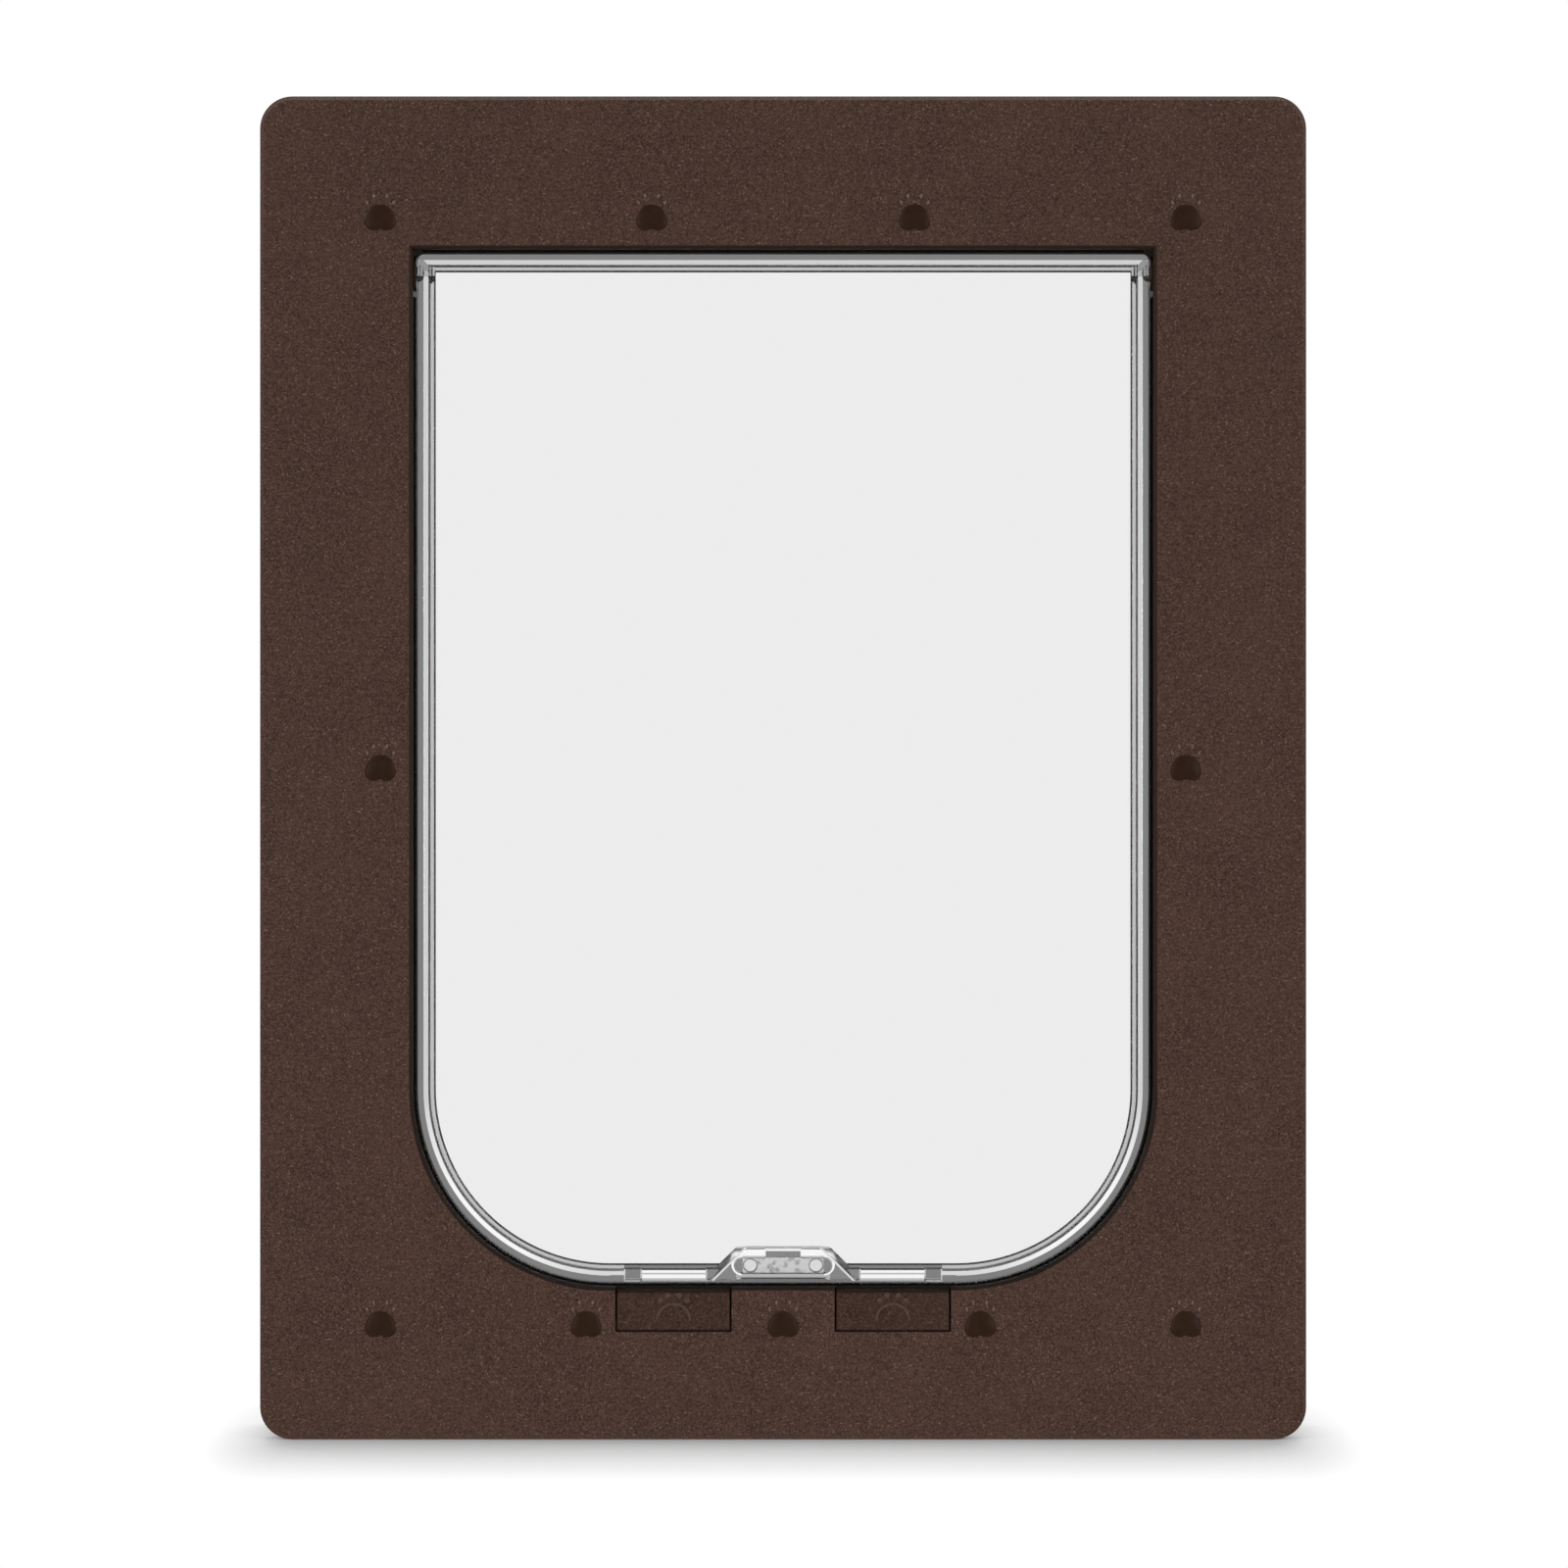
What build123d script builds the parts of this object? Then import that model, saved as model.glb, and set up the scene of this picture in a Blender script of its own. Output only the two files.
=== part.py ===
"""Pet door: two frames that clamp a door leaf, a clear two-way flap and two lock slides.

Millimetres. X runs to the right, Y from the room to the outside, Z up.
The origin is at the middle of the base.
"""
import os

from build123d import *

os.makedirs("parts", exist_ok=True)

# Opening that the flap fills, and the border of frame round it
opening_width = 252.0
opening_height = 353.0
opening_corner_radius = 67.0
border = 52.0
frame_corner_radius = 11.0

# Depths, from the room side to the outside
inner_depth = 16.0
door_thickness = 40.0
outer_depth = 10.0
inner_collar_reach = 26.0
collar_overlap = 12.0
collar_clearance = 0.5

# Moulded walls and edges
face_wall = 2.6
wall = 2.5
rib_wall = 1.6
rib_depth = 7.0
opening_round = 1.5
flange_bevel = 1.4

# Frame screws, their bosses and their caps
screw_side_margin = 11.0
screw_top_margin = 10.7
screw_bottom_margin = 12.7
top_screw_spacing = 89.4
bottom_screw_spacing = 134.0
screw_dia = 4.0
screw_clearance = 0.1
screw_head_dia = 7.2
screw_head_height = 2.6
screw_seat_depth = 5.0
screw_tip_gap = 1.0
head_clearance = 0.3
fastener_flat_count = 8
inner_boss_wall = 1.4
outer_boss_wall = 2.4
pad_width = 10.5
pad_height = 8.8
pad_crown_radius = 4.2
pad_lobe_radius = 2.1
pad_notch_width = 3.6
pad_notch_depth = 0.5
pad_rise = 0.9
plug_length = 1.8
plug_clearance = 0.05

# Flap: a thin clear panel inside a thick rim
flap_gap = 1.5
flap_setback = 7.4
flap_top_radius = 2.0
panel_thickness = 2.2
bead_width = 4.2
bead_thickness = 6.4
bead_bevel = 1.4
step_width = 5.8
step_thickness = 3.6
recess_width = 22.2
recess_depth = 1.3
stop_width = 5.6
stop_height = 4.4

# Pivots at the flap's top corners
pivot_drop = 6.5
axle_dia = 5.0
axle_length = 4.6
axle_clearance = 0.06
axle_end_gap = 0.4
hub_dia = 7.6
hub_length = 5.8
bush_flange_dia = 12.0
bush_flange_thickness = 1.0
bush_wall = 1.5
bush_end_wall = 1.0
bush_clearance = 0.05

# Magnet bar in the flap and its housing
housing_base_width = 52.0
housing_top_width = 32.0
housing_height = 11.6
housing_foot = 1.7
housing_thickness = 8.2
housing_side_bevel = 2.4
housing_relief = 1.0
housing_relief_width = 29.0
housing_relief_run = 4.0
housing_front_wall = 1.5
housing_floor = 1.6
bar_length = 27.7
bar_height = 5.3
bar_thickness = 3.0
bar_hole_spacing = 22.4
peg_dia = 4.0
peg_clearance = 0.15
bar_clearance = 0.2
bar_end_space = 3.0
tab_width = 12.3
tab_height = 1.4

# Sill magnet, in a tray under the sill
sill_magnet_length = 22.0
sill_magnet_width = 6.0
sill_magnet_thickness = 2.4
tray_wall = 1.2
tray_clearance = 0.15

# Lock slides in the sill
lock_spacing = 74.6
lock_travel = 8.0
slide_width = 38.4
slide_height = 13.8
slide_drop = 1.0
slide_gap = 0.3
slide_bevel = 0.4
notch_clearance = 0.6
back_plate_thickness = 2.2
back_plate_overlap = 1.2
web_thickness = 2.6
web_gap = 0.4
finger_width = 30.0
finger_thickness = 2.0
finger_flap_gap = 1.2
finger_clearance = 0.4

# Plates that hold the lock slides in, and their screws
retainer_thickness = 1.6
retainer_gap = 0.4
post_spacing = 30.0
post_dia = 5.4
retainer_screw_dia = 2.0
retainer_screw_length = 8.0
retainer_head_dia = 4.2
retainer_head_height = 1.0
retainer_head_clearance = 0.2

# Pile seal on the wall of the opening
seal_width = 5.0
seal_thickness = 1.1
top_seal_thickness = 0.8
seal_bond = 0.05
seal_end_gap = 2.0

# Levels and places that follow from the sizes above
frame_width = opening_width + 2 * border
frame_height = opening_height + 2 * border
frame_middle = frame_height / 2
sill = border
roof = border + opening_height
overall_depth = pad_rise + inner_depth + door_thickness + outer_depth
face_y = pad_rise - overall_depth / 2
inner_clamp_y = face_y + inner_depth
outer_clamp_y = inner_clamp_y + door_thickness
rear_y = outer_clamp_y + outer_depth
outer_collar_y = inner_clamp_y + inner_collar_reach - collar_overlap
outer_opening_grow = wall + collar_clearance

side_screw_x = opening_width / 2 + screw_side_margin
top_screw_z = roof + screw_top_margin
bottom_screw_z = sill - screw_bottom_margin
screw_places = [
    *[(x, top_screw_z) for x in (-side_screw_x, -top_screw_spacing / 2, top_screw_spacing / 2, side_screw_x)],
    *[(x, frame_middle) for x in (-side_screw_x, side_screw_x)],
    *[(x, bottom_screw_z) for x in (-side_screw_x, -bottom_screw_spacing / 2, 0)],
    *[(x, bottom_screw_z) for x in (bottom_screw_spacing / 2, side_screw_x)],
]
counterbore_dia = screw_head_dia + 2 * head_clearance
screw_hole_dia = screw_dia + 2 * screw_clearance
retainer_hole_dia = retainer_screw_dia + 2 * screw_clearance
inner_boss_dia = counterbore_dia + 2 * inner_boss_wall
outer_boss_dia = screw_dia + 2 * outer_boss_wall
screw_seat_y = face_y + screw_seat_depth
screw_tip_y = rear_y - face_wall - screw_tip_gap

flap_y = face_y + flap_setback
flap_width = opening_width - 2 * flap_gap
flap_bottom = sill + flap_gap
flap_top = roof - flap_gap
flap_corner_radius = opening_corner_radius - flap_gap
pivot_z = flap_top - pivot_drop
bush_barrel_dia = axle_dia + 2 * bush_wall

housing_middle = flap_bottom + housing_relief + housing_floor + bar_clearance + bar_height / 2
pocket_height = bar_height + 2 * bar_clearance
pocket_length = bar_length + 2 * bar_end_space
pocket_front_y = flap_y - housing_thickness / 2 + housing_front_wall
housing_back_y = flap_y + housing_thickness / 2

slide_top = sill - slide_drop
slide_bottom = slide_top - slide_height
slide_middle = slide_top - slide_height / 2
notch_bottom = slide_bottom - notch_clearance
notch_width = slide_width + 2 * notch_clearance
slide_back_y = face_y + face_wall + slide_gap
back_plate_width = slide_width + 2 * back_plate_overlap
back_plate_bottom = notch_bottom - lock_travel - back_plate_overlap
web_top = sill - wall - lock_travel - web_gap
finger_front_y = flap_y + bead_thickness / 2 + finger_flap_gap
finger_back_y = finger_front_y + finger_thickness
retainer_y = finger_back_y + retainer_gap
chamber_width = back_plate_width + 2 * notch_clearance
chamber_floor = back_plate_bottom - notch_clearance
chamber_top = sill - wall
sill_wall_middle = sill - wall / 2
post_z = chamber_floor - (rib_wall + post_dia) / 2
lock_places = {"left": -lock_spacing / 2, "right": lock_spacing / 2}
post_places = [(x + end * post_spacing / 2, post_z) for x in lock_places.values() for end in (-1, 1)]
sides = {"left": -1, "right": 1}


def upright(y):
    """Upright plane at depth y, with its local x to the right and its local y up."""
    return Plane.XZ.offset(-y)


def across(x):
    """Plane square to X at x, with its local x along Y and its local y up."""
    return Plane.YZ.offset(x)


def draw_panel(width, bottom, top, low_radius, high_radius=0.0, mode=Mode.ADD):
    """Upright panel or opening whose lower corners have a large radius."""
    with BuildSketch(Plane.XY, mode=Mode.PRIVATE) as panel:
        with Locations((0, (bottom + top) / 2)):
            Rectangle(width, top - bottom)
        fillet(panel.vertices().group_by(Axis.Y)[0], low_radius)
        if high_radius > 0:
            fillet(panel.vertices().group_by(Axis.Y)[-1], high_radius)
    add(panel.sketch, mode=mode)


def draw_opening(grow=0.0, mode=Mode.ADD):
    """The opening's outline, made larger all round by grow."""
    draw_panel(opening_width + 2 * grow, sill - grow, roof + grow, opening_corner_radius + grow, mode=mode)


def draw_flap(inset=0.0, mode=Mode.ADD):
    """The flap's outline, made smaller all round by inset."""
    draw_panel(
        flap_width - 2 * inset,
        flap_bottom + inset,
        flap_top - inset,
        flap_corner_radius - inset,
        max(flap_top_radius - inset, 0),
        mode=mode,
    )


def draw_flange(inset=0.0):
    """The frames' outline, made smaller all round by inset."""
    with Locations((0, frame_middle)):
        RectangleRounded(frame_width - 2 * inset, frame_height - 2 * inset, frame_corner_radius - inset)


def draw_boss_ribs():
    """One rib from each screw boss to the wall round the frame."""
    for x, z in screw_places:
        if z == frame_middle:
            end = (frame_width - wall) / 2
            with Locations(((abs(x) + end) / 2 * (1 if x > 0 else -1), z)):
                Rectangle(end - abs(x), rib_wall)
        else:
            end = frame_height - wall / 2 if z > frame_middle else wall / 2
            with Locations((x, (z + end) / 2)):
                Rectangle(rib_wall, abs(end - z))


def draw_pad():
    """Paw-pad outline: a round crown, two lobes below it and a small notch between them."""
    lobe_x = pad_width / 2 - pad_lobe_radius
    lobe_z = pad_lobe_radius - pad_height / 2
    with BuildSketch(Plane.XY, mode=Mode.PRIVATE) as pad:
        with Locations((0, pad_height / 2 - pad_crown_radius)):
            Circle(pad_crown_radius)
        with Locations((-lobe_x, lobe_z), (lobe_x, lobe_z)):
            Circle(pad_lobe_radius)
        make_hull()
        with BuildLine():
            Polyline(
                (-pad_notch_width / 2, -pad_height / 2),
                (0, pad_notch_depth - pad_height / 2),
                (pad_notch_width / 2, -pad_height / 2),
                close=True,
            )
        make_face(mode=Mode.SUBTRACT)
    add(pad.sketch)


def draw_round(diameter, mode=Mode.ADD):
    """Round section of a small fastener, boss or hole, drawn with a few flats to stay light."""
    RegularPolygon(diameter / 2, fastener_flat_count, mode=mode)


def keep(piece, name):
    """Name a finished piece and write it to its own file."""
    piece.part.label = name
    export_step(piece.part, f"parts/{name}.step")


# Inner frame: hollow flange on the room side, with the collar that lines the opening
with BuildPart() as inner_frame:
    with BuildSketch(upright(face_y)):
        draw_flange()
        draw_opening(mode=Mode.SUBTRACT)
    extrude(amount=-inner_depth)
    chamfer(inner_frame.faces().sort_by(Axis.Y)[0].outer_wire().edges(), flange_bevel)
    fillet(inner_frame.faces().sort_by(Axis.Y)[0].inner_wires()[0].edges(), opening_round)
    with BuildSketch(upright(face_y + face_wall)):
        draw_flange(wall)
        draw_opening(wall, mode=Mode.SUBTRACT)
    extrude(amount=face_wall - inner_depth, mode=Mode.SUBTRACT)
    with BuildSketch(upright(inner_clamp_y)):
        draw_opening(wall)
        draw_opening(mode=Mode.SUBTRACT)
    extrude(amount=-inner_collar_reach)
    with BuildSketch(upright(face_y + face_wall)):
        with Locations(*screw_places):
            draw_round(inner_boss_dia)
    extrude(amount=face_wall - inner_depth)
    with BuildSketch(upright(face_y + face_wall)):
        draw_boss_ribs()
    extrude(amount=-rib_depth)
    with BuildSketch(upright(face_y + face_wall)):
        for lock_x in lock_places.values():
            with Locations((lock_x, (chamber_floor - rib_wall + sill_wall_middle) / 2)):
                Rectangle(chamber_width + 2 * rib_wall, sill_wall_middle - chamber_floor + rib_wall)
            with Locations((lock_x, (chamber_floor + chamber_top) / 2)):
                Rectangle(chamber_width, chamber_top - chamber_floor, mode=Mode.SUBTRACT)
        with Locations(*post_places):
            draw_round(post_dia)
    extrude(amount=face_y + face_wall - retainer_y)
    for side in sides.values():
        with BuildSketch(across(side * (opening_width / 2 + wall))):
            with Locations((flap_y, pivot_z)):
                draw_round(bush_flange_dia)
        extrude(amount=side * axle_length / 2)
    for hole_dia, hole_depth in ((counterbore_dia, screw_seat_depth), (screw_hole_dia, inner_depth)):
        with BuildSketch(upright(face_y)):
            with Locations(*screw_places):
                draw_round(hole_dia)
        extrude(amount=-hole_depth, mode=Mode.SUBTRACT)
    with BuildSketch(upright(face_y)):
        for lock_x in lock_places.values():
            with Locations((lock_x, (notch_bottom + sill + opening_round) / 2)):
                Rectangle(notch_width, sill + opening_round - notch_bottom)
    extrude(amount=face_y - slide_back_y - slide_gap, mode=Mode.SUBTRACT)
    with BuildSketch(Plane.XY.offset(chamber_top)):
        for lock_x in lock_places.values():
            with Locations((lock_x, (finger_front_y + finger_back_y) / 2)):
                Rectangle(finger_width + 2 * finger_clearance, finger_thickness + 2 * finger_clearance)
    extrude(amount=2 * wall, mode=Mode.SUBTRACT)
    with BuildSketch(upright(retainer_y)):
        with Locations(*post_places):
            draw_round(retainer_hole_dia)
    extrude(amount=retainer_screw_length, mode=Mode.SUBTRACT)
    for side in sides.values():
        with BuildSketch(across(side * opening_width / 2)):
            with Locations((flap_y, pivot_z)):
                draw_round(bush_barrel_dia + 2 * bush_clearance)
        extrude(amount=side * 2 * (wall + axle_length), mode=Mode.SUBTRACT)
keep(inner_frame, "inner_frame")

# Outer frame: the outside flange, whose collar slips over the inner one
with BuildPart() as outer_frame:
    with BuildSketch(upright(outer_clamp_y)):
        draw_flange()
        draw_opening(outer_opening_grow, mode=Mode.SUBTRACT)
    extrude(amount=-outer_depth)
    chamfer(outer_frame.faces().sort_by(Axis.Y)[-1].edges(), flange_bevel)
    with BuildSketch(upright(outer_clamp_y)):
        draw_flange(wall)
        draw_opening(outer_opening_grow + wall, mode=Mode.SUBTRACT)
    extrude(amount=face_wall - outer_depth, mode=Mode.SUBTRACT)
    with BuildSketch(upright(outer_collar_y)):
        draw_opening(outer_opening_grow + wall)
        draw_opening(outer_opening_grow, mode=Mode.SUBTRACT)
    extrude(amount=outer_collar_y - outer_clamp_y)
    with BuildSketch(upright(outer_clamp_y)):
        with Locations(*screw_places):
            draw_round(outer_boss_dia)
    extrude(amount=face_wall - outer_depth)
    with BuildSketch(upright(rear_y - face_wall)):
        draw_boss_ribs()
    extrude(amount=(outer_depth - face_wall) / 2)
    with BuildSketch(upright(outer_clamp_y)):
        with Locations(*screw_places):
            draw_round(screw_hole_dia)
    extrude(amount=face_wall - outer_depth, mode=Mode.SUBTRACT)
keep(outer_frame, "outer_frame")

# Screws that pull the two frames together
with BuildPart() as frame_screws:
    with BuildSketch(upright(screw_seat_y)):
        with Locations(*screw_places):
            draw_round(screw_head_dia)
    extrude(amount=screw_head_height)
    with BuildSketch(upright(screw_seat_y)):
        with Locations(*screw_places):
            draw_round(screw_dia)
    extrude(amount=screw_seat_y - screw_tip_y)
keep(frame_screws, "frame_screws")

# Paw-pad caps that plug the screw holes
with BuildPart() as screw_caps:
    with BuildSketch(upright(face_y)):
        with Locations(*screw_places):
            draw_pad()
    extrude(amount=pad_rise)
    with BuildSketch(upright(face_y)):
        with Locations(*screw_places):
            draw_round(counterbore_dia - 2 * plug_clearance)
    extrude(amount=-plug_length)
keep(screw_caps, "screw_caps")

# Bushes that the flap's axles turn in
for name, side in sides.items():
    with BuildPart() as pivot_bush:
        with BuildSketch(across(side * opening_width / 2)):
            with Locations((flap_y, pivot_z)):
                draw_round(bush_flange_dia)
        extrude(amount=-side * bush_flange_thickness)
        with BuildSketch(across(side * opening_width / 2)):
            with Locations((flap_y, pivot_z)):
                draw_round(bush_barrel_dia)
        axle_end = axle_length + axle_end_gap - flap_gap
        extrude(amount=side * (axle_end + bush_end_wall))
        with BuildSketch(across(side * (opening_width / 2 + axle_end))):
            with Locations((flap_y, pivot_z)):
                Circle(axle_dia / 2 + axle_clearance)
        extrude(amount=-side * (axle_end + bush_flange_thickness), mode=Mode.SUBTRACT)
    keep(pivot_bush, f"pivot_bush_{name}")

# Flap: panel, stepped rim, pivots and the magnet housing in one clear moulding
with BuildPart() as flap:
    with BuildSketch(upright(flap_y - bead_thickness / 2)):
        draw_flap()
        draw_flap(bead_width, mode=Mode.SUBTRACT)
    extrude(amount=-bead_thickness)
    chamfer(flap.faces().filter_by(Plane.XZ).edges(), bead_bevel)
    with BuildSketch(upright(flap_y - step_thickness / 2)):
        draw_flap(bead_width / 2)
        draw_flap(step_width, mode=Mode.SUBTRACT)
    extrude(amount=-step_thickness)
    with BuildSketch(upright(flap_y - panel_thickness / 2)):
        draw_flap(bead_width / 2)
    extrude(amount=-panel_thickness)
    with BuildSketch(upright(flap_y - bead_thickness / 2)):
        for lock_x in lock_places.values():
            for end in (-1, 1):
                with Locations((lock_x + end * (recess_width + stop_width) / 2, flap_bottom + stop_height / 2)):
                    Rectangle(stop_width, stop_height)
    extrude(amount=-bead_thickness)
    with BuildSketch(upright(flap_y - bead_thickness / 2)):
        for lock_x in lock_places.values():
            with Locations((lock_x, flap_bottom + step_width / 2)):
                Rectangle(recess_width, step_width)
    extrude(amount=-recess_depth, mode=Mode.SUBTRACT)
    with BuildPart(mode=Mode.PRIVATE) as housing:
        with BuildSketch(upright(flap_y - housing_thickness / 2)):
            with BuildLine():
                Polyline(
                    (-housing_base_width / 2, flap_bottom),
                    (-housing_base_width / 2, flap_bottom + housing_foot),
                    (-housing_top_width / 2, flap_bottom + housing_height),
                    (housing_top_width / 2, flap_bottom + housing_height),
                    (housing_base_width / 2, flap_bottom + housing_foot),
                    (housing_base_width / 2, flap_bottom),
                    close=True,
                )
            make_face()
        extrude(amount=-housing_thickness)
        slants = housing.faces().filter_by(lambda face: abs(face.normal_at().X * face.normal_at().Z) > 0.1)
        chamfer(slants.edges().filter_by(Axis.Y, reverse=True), housing_side_bevel)
    add(housing.part)
    with BuildSketch(upright(flap_y - housing_thickness / 2)):
        with BuildLine():
            relief_end = housing_relief_width / 2 + housing_relief_run
            Polyline(
                (-relief_end, flap_bottom),
                (-housing_relief_width / 2, flap_bottom + housing_relief),
                (housing_relief_width / 2, flap_bottom + housing_relief),
                (relief_end, flap_bottom),
                close=True,
            )
        make_face()
    extrude(amount=-housing_thickness, mode=Mode.SUBTRACT)
    with BuildSketch(upright(pocket_front_y)):
        with Locations((0, housing_middle)):
            SlotOverall(pocket_length, pocket_height)
        with Locations((0, housing_middle + (pocket_height + tab_height) / 2)):
            Rectangle(tab_width, 2 * tab_height)
    extrude(amount=pocket_front_y - housing_back_y, mode=Mode.SUBTRACT)
    for side in sides.values():
        with BuildSketch(across(side * (flap_width / 2 - hub_length))):
            with Locations((flap_y, pivot_z)):
                Circle(hub_dia / 2)
        extrude(amount=side * hub_length)
        with BuildSketch(across(side * flap_width / 2)):
            with Locations((flap_y, pivot_z)):
                Circle(axle_dia / 2)
        extrude(amount=side * axle_length)
keep(flap, "flap")

# Magnet bar against the front wall of its pocket
with BuildPart() as magnet_bar:
    with BuildSketch(upright(pocket_front_y)):
        with Locations((0, housing_middle)):
            Rectangle(bar_length, bar_height)
            with GridLocations(bar_hole_spacing, 0, 2, 1):
                draw_round(peg_dia + 2 * peg_clearance, mode=Mode.SUBTRACT)
    extrude(amount=-bar_thickness)
keep(magnet_bar, "magnet_bar")

# Clear cover behind the bar, with a snap tab and two pegs through the bar
with BuildPart() as magnet_cover:
    with BuildSketch(upright(pocket_front_y + bar_thickness)):
        with Locations((0, housing_middle)):
            SlotOverall(pocket_length - 2 * bar_clearance, pocket_height - 2 * bar_clearance)
        with Locations((0, housing_middle + (pocket_height + tab_height) / 2 - bar_clearance)):
            Rectangle(tab_width - 2 * bar_clearance, 2 * tab_height)
    extrude(amount=pocket_front_y + bar_thickness - housing_back_y)
    with BuildSketch(upright(pocket_front_y + bar_thickness)):
        with Locations((0, housing_middle)):
            with GridLocations(bar_hole_spacing, 0, 2, 1):
                draw_round(peg_dia)
    extrude(amount=bar_thickness - bar_clearance)
keep(magnet_cover, "magnet_cover")

# Sill magnet and the tray that holds it against the underside of the sill
with BuildPart() as sill_magnet:
    with BuildSketch(Plane.XY.offset(chamber_top)):
        with Locations((0, flap_y)):
            Rectangle(sill_magnet_length, sill_magnet_width)
    extrude(amount=-sill_magnet_thickness)
keep(sill_magnet, "sill_magnet")

with BuildPart() as sill_magnet_tray:
    tray_grow = 2 * (tray_wall + tray_clearance)
    with BuildSketch(Plane.XY.offset(chamber_top)):
        with Locations((0, flap_y)):
            Rectangle(sill_magnet_length + tray_grow, sill_magnet_width + tray_grow)
    extrude(amount=-(sill_magnet_thickness + tray_wall))
    with BuildSketch(Plane.XY.offset(chamber_top)):
        with Locations((0, flap_y)):
            Rectangle(sill_magnet_length + 2 * tray_clearance, sill_magnet_width + 2 * tray_clearance)
    extrude(amount=-sill_magnet_thickness, mode=Mode.SUBTRACT)
keep(sill_magnet_tray, "sill_magnet_tray")

# Lock slides: a face plate in the notch, and a finger that rises behind the flap
for name, lock_x in lock_places.items():
    with BuildPart() as lock_slide:
        with BuildSketch(upright(face_y)):
            with Locations((lock_x, slide_middle)):
                Rectangle(slide_width, slide_height)
        extrude(amount=face_y - slide_back_y)
        chamfer(lock_slide.faces().sort_by(Axis.Y)[0].edges(), slide_bevel)
        with BuildSketch(upright(slide_back_y)):
            with Locations((lock_x, (back_plate_bottom + web_top) / 2)):
                Rectangle(back_plate_width, web_top - back_plate_bottom)
        extrude(amount=-back_plate_thickness)
        with BuildSketch(across(lock_x - finger_width / 2)):
            with BuildLine():
                Polyline(
                    (slide_back_y, web_top - web_thickness),
                    (finger_back_y, web_top - web_thickness),
                    (finger_back_y, sill - slide_gap),
                    (finger_front_y, sill - slide_gap),
                    (finger_front_y, web_top),
                    (slide_back_y, web_top),
                    close=True,
                )
            make_face()
        extrude(amount=finger_width)
    keep(lock_slide, f"lock_slide_{name}")

# Plates behind the slides, and the low-headed screws that hold them
retainer_head_seat_y = retainer_y + retainer_thickness - retainer_head_height - retainer_head_clearance
for name, lock_x in lock_places.items():
    own_posts = [(x, z) for x, z in post_places if abs(x - lock_x) < post_spacing]
    with BuildPart() as lock_retainer:
        retainer_bottom = post_z - post_dia / 2
        with BuildSketch(upright(retainer_y)):
            with Locations((lock_x, (retainer_bottom + chamber_top - web_gap) / 2)):
                Rectangle(chamber_width + 2 * rib_wall, chamber_top - web_gap - retainer_bottom)
        extrude(amount=-retainer_thickness)
        with BuildSketch(upright(retainer_y)):
            with Locations(*own_posts):
                draw_round(retainer_hole_dia)
        extrude(amount=-retainer_thickness, mode=Mode.SUBTRACT)
        with BuildSketch(upright(retainer_head_seat_y)):
            with Locations(*own_posts):
                draw_round(retainer_head_dia + 2 * retainer_head_clearance)
        extrude(amount=-retainer_thickness, mode=Mode.SUBTRACT)
    keep(lock_retainer, f"lock_retainer_{name}")

with BuildPart() as retainer_screws:
    with BuildSketch(upright(retainer_head_seat_y)):
        with Locations(*post_places):
            draw_round(retainer_head_dia)
    extrude(amount=-retainer_head_height)
    with BuildSketch(upright(retainer_head_seat_y)):
        with Locations(*post_places):
            draw_round(retainer_screw_dia)
    extrude(amount=retainer_screw_length - retainer_thickness)
keep(retainer_screws, "retainer_screws")

# Pile seal: one strip down the sides and along the sill, and one under the roof
seal_top = pivot_z - bush_flange_dia / 2 - seal_end_gap
with BuildPart() as seal_lower:
    with BuildSketch(upright(flap_y - seal_width / 2)):
        draw_opening(-seal_bond)
        draw_opening(-seal_bond - seal_thickness, mode=Mode.SUBTRACT)
        with Locations((0, (seal_top + roof) / 2)):
            Rectangle(opening_width, roof - seal_top, mode=Mode.SUBTRACT)
    extrude(amount=-seal_width)
keep(seal_lower, "seal_lower")

with BuildPart() as seal_upper:
    with BuildSketch(upright(flap_y - seal_width / 2)):
        with Locations((0, roof - seal_bond - top_seal_thickness / 2)):
            Rectangle(opening_width - 2 * (bush_flange_thickness + seal_end_gap), top_seal_thickness)
    extrude(amount=-seal_width)
keep(seal_upper, "seal_upper")
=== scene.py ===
"""Looks of the pet door: brown moulded frames, a clear flap, paw-pad screw caps and two lock slides.

X runs to the right, Y from the room to the outside, Z up. Lengths are in millimetres until they reach
a mesh; the floor, the lights and the camera are in metres.
"""
import math
import random

import bmesh
import bpy
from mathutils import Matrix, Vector


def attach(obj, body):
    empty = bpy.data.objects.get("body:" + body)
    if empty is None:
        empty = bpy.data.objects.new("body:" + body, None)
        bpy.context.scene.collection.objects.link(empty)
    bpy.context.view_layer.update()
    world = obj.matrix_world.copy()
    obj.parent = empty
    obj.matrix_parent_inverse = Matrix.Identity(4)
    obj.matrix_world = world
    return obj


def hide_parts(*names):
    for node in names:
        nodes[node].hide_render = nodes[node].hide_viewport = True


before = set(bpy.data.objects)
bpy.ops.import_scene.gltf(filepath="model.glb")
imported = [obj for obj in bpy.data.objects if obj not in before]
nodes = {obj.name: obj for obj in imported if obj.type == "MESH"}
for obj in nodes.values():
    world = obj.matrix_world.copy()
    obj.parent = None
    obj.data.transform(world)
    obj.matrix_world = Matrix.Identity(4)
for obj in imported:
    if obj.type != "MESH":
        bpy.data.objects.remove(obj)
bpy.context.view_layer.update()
MM = 0.001

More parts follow.
